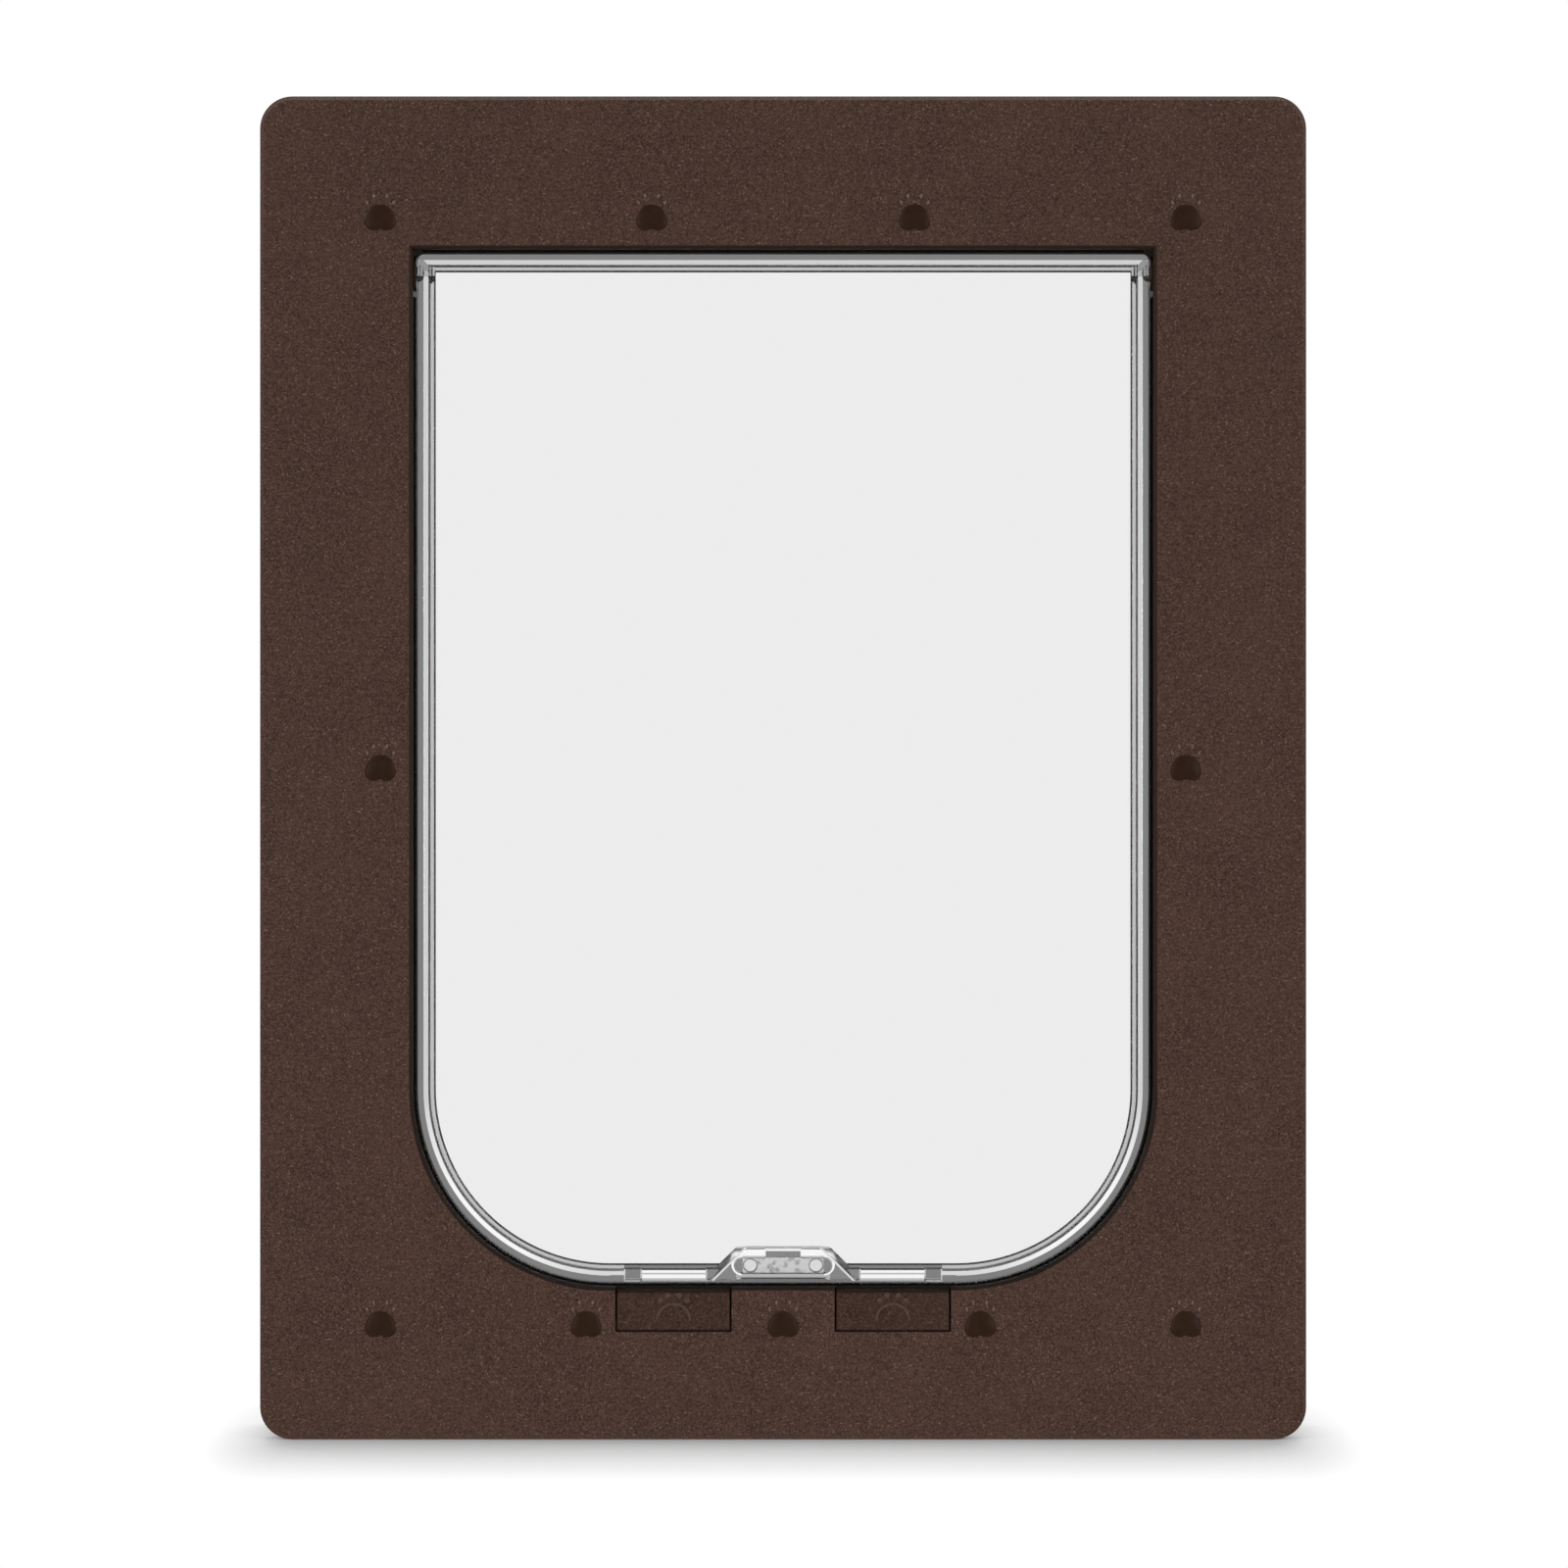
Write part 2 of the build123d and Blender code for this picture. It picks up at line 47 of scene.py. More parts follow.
# Sizes that part.py gives the same pieces; BEAD, STEP and PANEL are half thicknesses
FACE_Y = -32.55
FLAP_Y = -25.15
SILL = 52.0
ROOF = 405.0
OPENING_WIDTH = 252.0
OPENING_RADIUS = 67.0
FLAP_GAP = 1.5
FLAP_TOP_RADIUS = 2.0
BEAD = 3.2
STEP = 1.8
PANEL = 1.1
BEAD_WIDTH = 4.2
STEP_WIDTH = 5.8
STOP_HEIGHT = 4.4
STOP_WIDTH = 5.6
RECESS_DEPTH = 1.3
RECESS_HALF = 11.1
LOCK_X = 37.3
PIVOT_DROP = 6.5
HUB_RADIUS = 3.8
HUB_LENGTH = 5.8
AXLE_RADIUS = 2.5
AXLE_LENGTH = 4.6
HOUSING_BASE = 52.0
HOUSING_TOP = 32.0
HOUSING_HEIGHT = 11.6
HOUSING_FOOT = 1.7
HOUSING_THICKNESS = 8.2
HOUSING_BEVEL = 2.4
HOUSING_RELIEF = 1.0
HOUSING_RELIEF_WIDTH = 29.0
HOUSING_RELIEF_RUN = 4.0
HOUSING_FRONT_WALL = 1.5
HOUSING_FLOOR = 1.6
BAR_LENGTH = 27.7
BAR_THICKNESS = 3.0
BAR_HEIGHT = 5.3
BAR_HOLE_X = 11.2
BAR_HOLE_RADIUS = 2.15
BAR_CLEARANCE = 0.2
BAR_END_SPACE = 3.0
TAB_WIDTH = 12.3
TAB_HEIGHT = 1.4
PAD_WIDTH = 10.5
PAD_HEIGHT = 8.8
PAD_RISE = 0.9
PLUG_RADIUS = 3.85
PLUG_LENGTH = 1.8
SCREW_SEAT = FACE_Y + 5.0
SCREW_TIP = 29.85
SCREW_RADIUS = 2.0
SCREW_HEAD_RADIUS = 3.6
SCREW_HEAD = 2.6
SCREW_PLACES = [
    *[(x, 415.7) for x in (-137, -44.7, 44.7, 137)],
    *[(x, 228.5) for x in (-137, 137)],
    *[(x, 39.3) for x in (-137, -67, 0, 67, 137)],
]
SLIDE_MIDDLE = 44.1
SEAL_WIDTH = 5.0
SEAL_DEPTH = 1.1
SEAL_TOP_DEPTH = 0.8
SEAL_BOND = 0.05
SEAL_TOP = 389.0
SEAL_TOP_HALF = 123.0

FLAP_HALF = OPENING_WIDTH / 2 - FLAP_GAP
FLAP_BOTTOM = SILL + FLAP_GAP
FLAP_TOP = ROOF - FLAP_GAP
FLAP_RADIUS = OPENING_RADIUS - FLAP_GAP
PIVOT_Z = FLAP_TOP - PIVOT_DROP
POCKET_Z = FLAP_BOTTOM + HOUSING_RELIEF + HOUSING_FLOOR + BAR_CLEARANCE + BAR_HEIGHT / 2
POCKET_FRONT = FLAP_Y - HOUSING_THICKNESS / 2 + HOUSING_FRONT_WALL
POCKET_LENGTH = BAR_LENGTH + 2 * BAR_END_SPACE
POCKET_HEIGHT = BAR_HEIGHT + 2 * BAR_CLEARANCE


# Materials: helpers for shader trees

def node(tree, kind, links=(), **values):
    """A shader node with its settings and input values; links are (input, output socket) pairs."""
    made = tree.nodes.new(kind)
    for name, value in values.items():
        if hasattr(made, name):
            setattr(made, name, value)
        else:
            made.inputs[name.replace("_", " ")].default_value = value
    for socket, source in links:
        tree.links.new(source, made.inputs[socket])
    return made


def calc(tree, operation, *values, vector=False):
    """Result of one sum on sockets and numbers, or on sockets and vectors."""
    made = node(tree, "ShaderNodeVectorMath" if vector else "ShaderNodeMath", operation=operation)
    for spot, value in zip(made.inputs, values):
        if isinstance(value, bpy.types.NodeSocket):
            tree.links.new(value, spot)
        else:
            spot.default_value = value
    return made.outputs["Vector" if vector and operation != "LENGTH" else "Value"]


def axes(tree, place):
    """The X, Y and Z sockets of a place."""
    return node(tree, "ShaderNodeSeparateXYZ", [("Vector", place)]).outputs


def length_of(tree, across, up):
    """Length of a step that goes across and up."""
    step = node(tree, "ShaderNodeCombineXYZ", [("X", across), ("Y", up)]).outputs[0]
    return calc(tree, "LENGTH", step, vector=True)


def mix_shader(tree, factor, first, second):
    """Second shader over the first by a factor socket."""
    return node(tree, "ShaderNodeMixShader", [(0, factor), (1, first), (2, second)]).outputs[0]


def new_material(name):
    """A material with its tree, its main shader and coordinates that stay with the object."""
    made = bpy.data.materials.new(name)
    made.use_nodes = True
    tree = made.node_tree
    shader = tree.nodes["Principled BSDF"]
    place = tree.nodes.new("ShaderNodeTexCoord").outputs["Object"]
    return made, tree, shader, place


def wire(tree, shader, **sources):
    """Links sockets to the shader inputs of these names."""
    for name, source in sources.items():
        tree.links.new(source, shader.inputs[name.replace("_", " ")])


def noise(tree, place, scale, detail=2.0, rough=0.5):
    """Noise whose grain is about 1 / scale metres."""
    made = node(tree, "ShaderNodeTexNoise", [("Vector", place)], Scale=scale, Detail=detail, Roughness=rough)
    return made.outputs["Fac"]


def ramp(tree, source, stops):
    """Colours or greys along a value, as (position, (r, g, b)) stops."""
    made = node(tree, "ShaderNodeValToRGB", [("Fac", source)])
    points = made.color_ramp.elements
    while len(points) < len(stops):
        points.new(0.5)
    for point, (position, colour) in zip(points, stops):
        point.position = position
        point.color = (*colour, 1.0)
    return made.outputs["Color"]


def grey(value):
    return (value, value, value)


def grey_ramp(tree, source, start, low, end, high):
    """Grey that goes from low to high while the value goes from start to end."""
    return ramp(tree, source, [(start, grey(low)), (end, grey(high))])


def blend_colour(tree, factor, first, second):
    """Second colour over the first by a factor socket or number."""
    made = node(tree, "ShaderNodeMix", data_type="RGBA")
    for socket, value in (("Factor", factor), ("A", first), ("B", second)):
        spot = [s for s in made.inputs if s.name == socket and s.enabled][0]
        if isinstance(value, bpy.types.NodeSocket):
            tree.links.new(value, spot)
        elif isinstance(value, tuple):
            spot.default_value = (*value, 1.0)
        else:
            spot.default_value = value
    return [s for s in made.outputs if s.enabled][0]


def bump(tree, height, strength, distance):
    """Bump normal from a height socket; the distance is in metres."""
    made = node(tree, "ShaderNodeBump", [("Height", height)], Strength=strength, Distance=distance)
    return made.outputs["Normal"]


# Materials: masks by place

SHADED_WALL_MIDDLE = 20.6
SHADED_WALL_HALF = 20.0
SHADED_WALL_MARGIN = 4.0
OVER_BAR = (2.9, 3.1)
LOW_BENDS = (55, 64, 85, 115)
SLIDE_EDGE = (49.4, 50.6)
END_MARGIN = 0.8
POCKET_LINE = 0.8


def opening_shade(tree, place):
    """1 on the polished round and wall of the frames' opening, where the colour takes painted shade, 0 on the
    grained flats.
    """
    normal = tree.nodes.new("ShaderNodeTexCoord").outputs["Normal"]
    facing = calc(tree, "ABSOLUTE", axes(tree, normal)["Y"])
    turned = grey_ramp(tree, facing, 0.97, 1.0, 0.999, 0.0)
    spot = axes(tree, place)
    behind = calc(tree, "COMPARE", spot["Y"], (FACE_Y + SHADED_WALL_MIDDLE) * MM, SHADED_WALL_HALF * MM)
    inside = calc(tree, "MAXIMUM", turned, behind)
    aside = calc(tree, "ABSOLUTE", spot["X"])
    past = calc(tree, "SUBTRACT", aside, (OPENING_WIDTH / 2 - OPENING_RADIUS) * MM)
    below = calc(tree, "SUBTRACT", (SILL + OPENING_RADIUS) * MM, spot["Z"])
    reach = length_of(tree, calc(tree, "MAXIMUM", past, 0.0), calc(tree, "MAXIMUM", below, 0.0))
    for distance, limit in ((reach, OPENING_RADIUS), (spot["Z"], ROOF)):
        near = calc(tree, "LESS_THAN", distance, (limit + SHADED_WALL_MARGIN) * MM)
        inside = calc(tree, "MULTIPLY", inside, near)
    return inside


def by_pegs(tree, place):
    """1 along the two pegs that run through the magnet bar, 0 round them."""
    spot = axes(tree, place)
    inside = []
    for value, middle in ((calc(tree, "ABSOLUTE", spot["X"]), BAR_HOLE_X), (spot["Z"], POCKET_Z)):
        gap = calc(tree, "ABSOLUTE", calc(tree, "SUBTRACT", value, middle * MM))
        inside.append(calc(tree, "LESS_THAN", gap, BAR_HOLE_RADIUS * MM))
    return calc(tree, "MULTIPLY", *inside)


def by_height(tree, place, none, full):
    """Share that grows with the height over the floor, from 0 at one height (mm) to 1 at another."""
    share = node(tree, "ShaderNodeMapRange", [("Value", axes(tree, place)["Z"])])
    share.inputs["From Min"].default_value = none * MM
    share.inputs["From Max"].default_value = full * MM
    return share.outputs[0]


def over_bar(tree, place):
    """1 in the part of the magnet housing over the bar, 0 below."""
    return by_height(tree, place, POCKET_Z + OVER_BAR[0], POCKET_Z + OVER_BAR[1])


def bend_highlight(tree, place):
    """1 round the flap's two lower bends, where the crest line takes a painted highlight, 0 along its sides
    and foot.
    """
    start, full, fade, end = LOW_BENDS
    return calc(tree, "MULTIPLY", by_height(tree, place, start, full), by_height(tree, place, end, fade))


def slide_top_shade(tree, place):
    """1 on the rounded top edge of the lock slides, which takes painted shade."""
    return by_height(tree, place, *SLIDE_EDGE)


def by_ends(tree, place):
    """1 in the solid ends of the magnet housing, 0 over and under the bar."""
    aside = calc(tree, "ABSOLUTE", axes(tree, place)["X"])
    return calc(tree, "GREATER_THAN", aside, (POCKET_LENGTH / 2 - END_MARGIN) * MM)


def pocket_ends(tree, place):
    """1 in a thin line round the two round ends of the bar's pocket, 0 elsewhere."""
    radius = POCKET_HEIGHT / 2
    spot = axes(tree, place)
    aside = calc(tree, "ABSOLUTE", spot["X"])
    past = calc(tree, "SUBTRACT", aside, (POCKET_LENGTH / 2 - radius) * MM)
    reach = length_of(tree, past, calc(tree, "SUBTRACT", spot["Z"], POCKET_Z * MM))
    line = calc(tree, "COMPARE", reach, (radius + POCKET_LINE / 2) * MM, POCKET_LINE / 2 * MM)
    return calc(tree, "MULTIPLY", line, calc(tree, "GREATER_THAN", past, 0.0))


# Materials: the finishes

EDGE_SHADE = 0.4
EDGE_SHADE_HEIGHTS = (40, 160)
CLEAR_IOR = 1.49


def moulded_plastic(name, low, high, fleck, grain, rough, relief, gloss=0.25, edge=None):
    """Moulded plastic: grain, pale flecks, slow mottling, uneven sheen; edge is a (mask, colour) patch of
    painted shade, darker towards the bottom.
    """
    made, tree, shader, place = new_material(name)
    shader.inputs["Specular IOR Level"].default_value = gloss
    fine = noise(tree, place, grain, 4.0, 0.68)
    slow = noise(tree, place, 34.0, 2.0)
    spots = noise(tree, place, grain * 0.8, 1.0)
    colour = ramp(tree, fine, [(0.34, low), (0.66, high)])
    colour = blend_colour(tree, grey_ramp(tree, slow, 0.35, 0.0, 0.75, 0.18), colour, high)
    colour = blend_colour(tree, grey_ramp(tree, spots, 0.64, 0.0, 0.72, 0.55), colour, fleck)
    if edge:
        # Painted shade: the patch's dark colour, darker still low down
        mask, dark = edge
        darker = tuple(EDGE_SHADE * c for c in dark)
        dark = blend_colour(tree, by_height(tree, place, *EDGE_SHADE_HEIGHTS), darker, dark)
        colour = blend_colour(tree, mask(tree, place), colour, dark)
    sheen = grey_ramp(tree, fine, 0.25, rough - 0.08, 0.75, rough + 0.08)
    wire(tree, shader, Base_Color=colour, Roughness=sheen, Normal=bump(tree, fine, relief, 0.00012))
    return made


def clear_plastic(name, tint, rough, wave, *patches):
    """Clear moulded plastic with faint flow marks, an uneven polish and (mask, tint) patches where given."""
    made, tree, shader, place = new_material(name)
    shader.inputs["Base Color"].default_value = (*tint, 1.0)
    for mask, other in patches:
        tint = blend_colour(tree, mask(tree, place), tint, grey(other))
        wire(tree, shader, Base_Color=tint)
    shader.inputs["Transmission Weight"].default_value = 1.0
    shader.inputs["IOR"].default_value = CLEAR_IOR
    polish = grey_ramp(tree, noise(tree, place, 90.0, 2.0), 0.4, rough, 0.8, rough * 2 + 0.01)
    flow = node(tree, "ShaderNodeTexWave", [("Vector", place)], Scale=9.0, Distortion=6.0, Detail=1.0)
    wire(tree, shader, Roughness=polish, Normal=bump(tree, flow.outputs["Fac"], wave, 0.0001))
    return made


def bright_metal(name, low, high, rough, streak, shine=1.0):
    """Plated or rolled metal with streaks along X and small dull patches."""
    made, tree, shader, place = new_material(name)
    shader.inputs["Metallic"].default_value = shine
    squeezed = node(tree, "ShaderNodeMapping", [("Vector", place)])
    squeezed.inputs["Scale"].default_value = (streak, 1.0, 1.0)
    lines = noise(tree, squeezed.outputs["Vector"], 2600.0, 3.0)
    colour = ramp(tree, noise(tree, place, 420.0, 3.0), [(0.35, low), (0.47, high)])
    sheen = grey_ramp(tree, lines, 0.3, rough - 0.07, 0.7, rough + 0.1)
    wire(tree, shader, Base_Color=colour, Roughness=sheen, Normal=bump(tree, lines, 0.2, 0.00005))
    return made


def pile_material(name):
    """Black woven pile: dark fibres with a few paler tips."""
    made, tree, shader, place = new_material(name)
    shader.inputs["Specular IOR Level"].default_value = 0.1
    fibre = noise(tree, place, 2400.0, 2.0)
    colour = grey_ramp(tree, fibre, 0.35, 0.0015, 0.8, 0.008)
    sheen = grey_ramp(tree, fibre, 0.3, 0.8, 0.7, 0.95)
    wire(tree, shader, Base_Color=colour, Roughness=sheen, Normal=bump(tree, fibre, 0.5, 0.0002))
    return made


# Frame plastic: a dark brown of painted shade on the opening's round and wall, darker still low down
frame_plastic = moulded_plastic(
    "frame_plastic", (0.021, 0.0078, 0.0042), (0.126, 0.0625, 0.042), (0.26, 0.165, 0.13),
    grain=1700.0, rough=0.58, relief=0.5, edge=(opening_shade, (0.026, 0.0095, 0.0028)))
# Toe plastic: the frame's brown made lighter, a painted highlight on the toe marks
toe_highlight_plastic = moulded_plastic(
    "toe_highlight_plastic", (0.11, 0.061, 0.043), (0.145, 0.083, 0.06), (0.18, 0.11, 0.082),
    grain=900.0, rough=0.3, relief=0.05, gloss=0.8)
cap_plastic = moulded_plastic(
    "cap_plastic", (0.03, 0.0125, 0.005), (0.036, 0.0155, 0.0068), (0.04, 0.018, 0.009),
    grain=300.0, rough=0.4, relief=0.01, gloss=0.14)
# Slide plastic: painted shade in dark brown on the rounded top edge
slide_plastic = moulded_plastic(
    "slide_plastic", (0.026, 0.0105, 0.006), (0.09, 0.0435, 0.0295), (0.16, 0.095, 0.072),
    grain=1300.0, rough=0.42, relief=0.2, edge=(slide_top_shade, (0.026, 0.0095, 0.0028)))
# Mark plastic: lighter than the slide's, a painted highlight on the raised paw
mark_highlight_plastic = moulded_plastic(
    "mark_highlight_plastic", (0.07, 0.039, 0.0295), (0.11, 0.067, 0.053), (0.14, 0.092, 0.074),
    grain=1300.0, rough=0.4, relief=0.3)
# White plastic on clear edges: painted highlights along the housing's slants, round the bar's pocket and at
# the lock blocks' ends
painted_edge_highlight = moulded_plastic(
    "painted_edge_highlight", grey(0.85), grey(0.95), grey(1.0), grain=300.0, rough=0.4, relief=0.01)
flap_plastic = clear_plastic("flap_plastic", grey(0.872), 0.004, 0.02)
rim_plastic = clear_plastic("rim_plastic", grey(0.97), 0.03, 0.05)
# Crest line: a grey tint of painted shade, turned clear round the lower bends as a painted highlight
rim_line = clear_plastic("rim_line", (0.45, 0.452, 0.455), 0.05, 0.05, (bend_highlight, 0.97))
rim_bend = clear_plastic("rim_bend", grey(0.97), 0.3, 0.05)
# Dark grey tints that paint shade on the rim's outer band, its step, the hub collars and the lock blocks
rim_shade_grey = clear_plastic("rim_shade_grey", (0.055, 0.0555, 0.056), 0.08, 0.05)
rim_shade_step = clear_plastic("rim_shade_step", (0.3, 0.302, 0.304), 0.05, 0.05)
housing_plastic = clear_plastic("housing_plastic", grey(0.98), 0.02, 0.05)
# Housing back: a dark tint of painted shade, nearly black in the solid ends, clear over the bar, with a
# painted highlight line round the pocket's ends
housing_back_shade = clear_plastic(
    "housing_back_shade", (0.2, 0.202, 0.204), 0.05, 0.05, (over_bar, 0.95), (by_ends, 0.05), (pocket_ends, 0.98))
cover_plastic = clear_plastic("cover_plastic", (0.2, 0.201, 0.203), 0.05, 0.05, (by_pegs, 0.72))
magnet_metal = bright_metal("magnet_metal", grey(0.52), grey(1.0), 0.42, 0.25, shine=0.05)
hole_ring_shade = bright_metal("hole_ring_shade", grey(0.3), grey(0.42), 0.4, 0.25, shine=0.05)
screw_steel = bright_metal("screw_steel", (0.5, 0.5, 0.48), (0.66, 0.66, 0.64), 0.32, 0.5)
pile = pile_material("pile")

NODE_MATERIALS = {
    frame_plastic: ("inner_frame", "outer_frame"),
    slide_plastic: (
        "lock_slide_left", "lock_slide_right", "lock_retainer_left", "lock_retainer_right",
        "pivot_bush_left", "pivot_bush_right", "sill_magnet_tray"),
    cap_plastic: ("screw_caps",),
    flap_plastic: ("flap",),
    cover_plastic: ("magnet_cover",),
    magnet_metal: ("magnet_bar", "sill_magnet"),
    screw_steel: ("frame_screws", "retainer_screws"),
    pile: ("seal_lower", "seal_upper"),
}
for finish, names in NODE_MATERIALS.items():
    for name in names:
        slots = nodes[name].data.materials
        slots.clear()
        slots.append(finish)


# Mesh helpers

WELD = 0.0005
FINE_WELD = 0.0001


def piece(name, mesh, body, slot, *finishes, sharp=35):
    """A finished piece of the object: its mesh, its materials and the body it rides on; the slot argument is
    not used.
    """
    mesh.name = name
    for polygon in mesh.polygons:
        polygon.use_smooth = True
    mesh.set_sharp_from_angle(angle=math.radians(sharp))
    mesh.materials.clear()
    for finish in finishes:
        mesh.materials.append(finish)
    made = bpy.data.objects.new(name, mesh)
    bpy.context.scene.collection.objects.link(made)
    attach(made, body)
    return made


def to_mesh(work, weld=WELD):
    """A mesh in metres from a bmesh in millimetres, welded if asked, with its faces turned outwards."""
    if weld:
        bmesh.ops.remove_doubles(work, verts=work.verts, dist=weld)
        bmesh.ops.dissolve_degenerate(work, edges=work.edges, dist=weld)
    bmesh.ops.recalc_face_normals(work, faces=work.faces)
    bmesh.ops.scale(work, vec=(MM, MM, MM), verts=work.verts)
    mesh = bpy.data.meshes.new("mesh")
    work.to_mesh(mesh)
    work.free()
    return mesh


def skin(work, rings):
    """Joins rings of equally many points with quads, and caps the first and last ring."""
    rows = [[work.verts.new(point) for point in ring] for ring in rings]
    for low, high in zip(rows, rows[1:]):
        count = len(low)
        for i in range(count):
            j = (i + 1) % count
            work.faces.new((low[i], low[j], high[j], high[i]))
    work.faces.new(rows[0][::-1])
    work.faces.new(rows[-1])


def ring_mesh(rings):
    """A closed mesh from one run of rings."""
    work = bmesh.new()
    skin(work, rings)
    return to_mesh(work)


def combine(base, tools):
    """Base mesh after exact booleans with (operation, mesh) tools, in order."""
    holder = bpy.data.objects.new("holder", base)
    bpy.context.scene.collection.objects.link(holder)
    helpers = []
    for operation, mesh in tools:
        helper = bpy.data.objects.new("helper", mesh)
        bpy.context.scene.collection.objects.link(helper)
        helpers.append(helper)
        step = holder.modifiers.new(operation, "BOOLEAN")
        step.operation = operation
        step.solver = "EXACT"
        step.object = helper
    bpy.context.view_layer.update()
    graph = bpy.context.evaluated_depsgraph_get()
    result = bpy.data.meshes.new_from_object(holder.evaluated_get(graph))
    for spent in (holder, *helpers):
        bpy.data.objects.remove(spent)
    return result


def arc(centre, radius, start, end, count):
    """Points on an arc in a plane, with angles in degrees."""
    steps = [math.radians(start + (end - start) * i / count) for i in range(count + 1)]
    return [(centre[0] + radius * math.cos(a), centre[1] + radius * math.sin(a)) for a in steps]


def circle(centre, radius, count):
    """Points round a full circle in a plane."""
    return arc(centre, radius, 0, 360 - 360 / count, count - 1)


def rectangle(width, low, high):
    """Outline of (x, z) points round the middle of the object."""
    half = width / 2
    return [(-half, low), (half, low), (half, high), (-half, high)]


def slot_outline(length, height, middle):
    """Slot with round ends, as (x, z) points."""
    radius = height / 2
    reach = length / 2 - radius
    return arc((reach, middle), radius, -90, 90, 20) + arc((-reach, middle), radius, 90, 270, 20)


def plate(outline, front, depth, edge=0.0, segments=3):
    """Upright plate from an outline of (x, z) points, with rounded edges where edge is given."""
    work = bmesh.new()
    skin(work, [[(x, front, z) for x, z in outline], [(x, front + depth, z) for x, z in outline]])
    bmesh.ops.recalc_face_normals(work, faces=work.faces)
    if edge:
        bmesh.ops.bevel(
            work, geom=work.edges[:], offset=edge, segments=segments, profile=0.5, affect="EDGES")
    return to_mesh(work)


# Flap: the swept rim and the panel as one closed form

STATION_GAP = 0.22
BEND_STEP = 3
CORNER_STEP = 15
EDGE_ROUND = 0.3
STEP_ROUND = 0.35
HAIR = 0.02
FILLET = 0.2
LINE_INSET = 0.3
CREST = (2.1, 3.35)
RECESS_LINE = (2.3, 2.9)
RIM_FOOT = 1.0
# By kind: height, height of the outer edge, inset where the top starts, round of the inner edge, width
RIM_SECTIONS = {
    "round": (BEAD, BEAD - 0.85, CREST[0] + 0.05, 0.8, BEAD_WIDTH),
    "block": (BEAD, BEAD - HAIR, RIM_FOOT, 0.3, STOP_HEIGHT),
    "recess": (BEAD - RECESS_DEPTH, BEAD - RECESS_DEPTH - HAIR, RIM_FOOT, 0.1, BEAD_WIDTH),
}


def flap_stations():
    """Places round the flap as (kind, value, section), from the left end of the sill to the right."""
    changes = [LOCK_X - RECESS_HALF - STOP_WIDTH, LOCK_X - RECESS_HALF, LOCK_X + RECESS_HALF]
    changes.append(LOCK_X + RECESS_HALF + STOP_WIDTH)
    sections = ["round", "block", "recess", "block", "round"]
    right = [("sill", 0.0, "round")]
    for at, before, after in zip(changes, sections, sections[1:]):
        right.append(("sill", at - STATION_GAP, before))
        right.append(("sill", at + STATION_GAP, after))
    left = [(kind, -value, section) for kind, value, section in reversed(right[1:])]
    places = left + right
    places += [("low_right", a, "round") for a in range(-90, 1, BEND_STEP)]
    places += [("high_right", a, "round") for a in range(0, 91, CORNER_STEP)]
    places += [("high_left", a, "round") for a in range(90, 181, CORNER_STEP)]
    places += [("low_left", a, "round") for a in range(180, 271, BEND_STEP)]
    return places


def flap_point(kind, value, inset):
    """Point (x, z) of the flap's outline, made smaller by inset."""
    if kind == "sill":
        return value, FLAP_BOTTOM + inset
    side = 1 if kind.endswith("right") else -1
    a = math.radians(value)
    if kind.startswith("low"):
        radius = FLAP_RADIUS - inset
        centre = (side * (FLAP_HALF - FLAP_RADIUS), FLAP_BOTTOM + FLAP_RADIUS)
    else:
        radius = max(FLAP_TOP_RADIUS - inset, 0.0)
        middle = max(FLAP_TOP_RADIUS, inset)
        centre = (side * (FLAP_HALF - middle), FLAP_TOP - middle)
    return centre[0] + radius * math.cos(a), centre[1] + radius * math.sin(a)


def rim_section(kind):
    """Half section of the rim as (inset, height over the middle plane), from the edge to the panel."""
    top, low, crest, inner, foot = RIM_SECTIONS[kind]
    line = RECESS_LINE if kind == "recess" else (CREST[0] + LINE_INSET, CREST[1] - LINE_INSET)
    points = arc((EDGE_ROUND, low - EDGE_ROUND), EDGE_ROUND, 180, 110, 4)
    points += [(crest - 0.15, top - 0.06), (crest + 0.05, top), (line[0], top), (line[1], top)]
    points += arc((foot - inner, top - inner), inner, 90, 5, 8)
    points += [(foot + 0.05, STEP + HAIR), (foot + FILLET, STEP)]
    points += arc((STEP_WIDTH - STEP_ROUND, STEP - STEP_ROUND), STEP_ROUND, 90, 0, 3)
    points += [(STEP_WIDTH + HAIR, PANEL + 0.15), (STEP_WIDTH + FILLET, PANEL)]
    return points


def flap_form():
    """Rim and panel: the front follows each station's section, the back has no recess."""
    work = bmesh.new()
    front_rows, back_rows = [], []
    for kind, value, section in flap_stations():
        behind = "block" if section == "block" else "round"
        for rows, shape, way in ((front_rows, section, -1), (back_rows, behind, 1)):
            row = []
            for inset, height in rim_section(shape):
                x, z = flap_point(kind, value, inset)
                row.append(work.verts.new((x, FLAP_Y + way * height, z)))
            rows.append(row)
    count = len(front_rows)
    for i in range(count):
        j = (i + 1) % count
        for rows in (front_rows, back_rows):
            for k in range(len(rows[i]) - 1):
                work.faces.new((rows[i][k], rows[j][k], rows[j][k + 1], rows[i][k + 1]))
        work.faces.new((front_rows[i][0], back_rows[i][0], back_rows[j][0], front_rows[j][0]))
    work.faces.new([row[-1] for row in front_rows])
    work.faces.new([row[-1] for row in back_rows])
    return to_mesh(work)


# Flap: pivot hubs and axles, as (distance in from the flap's side, radius) stops

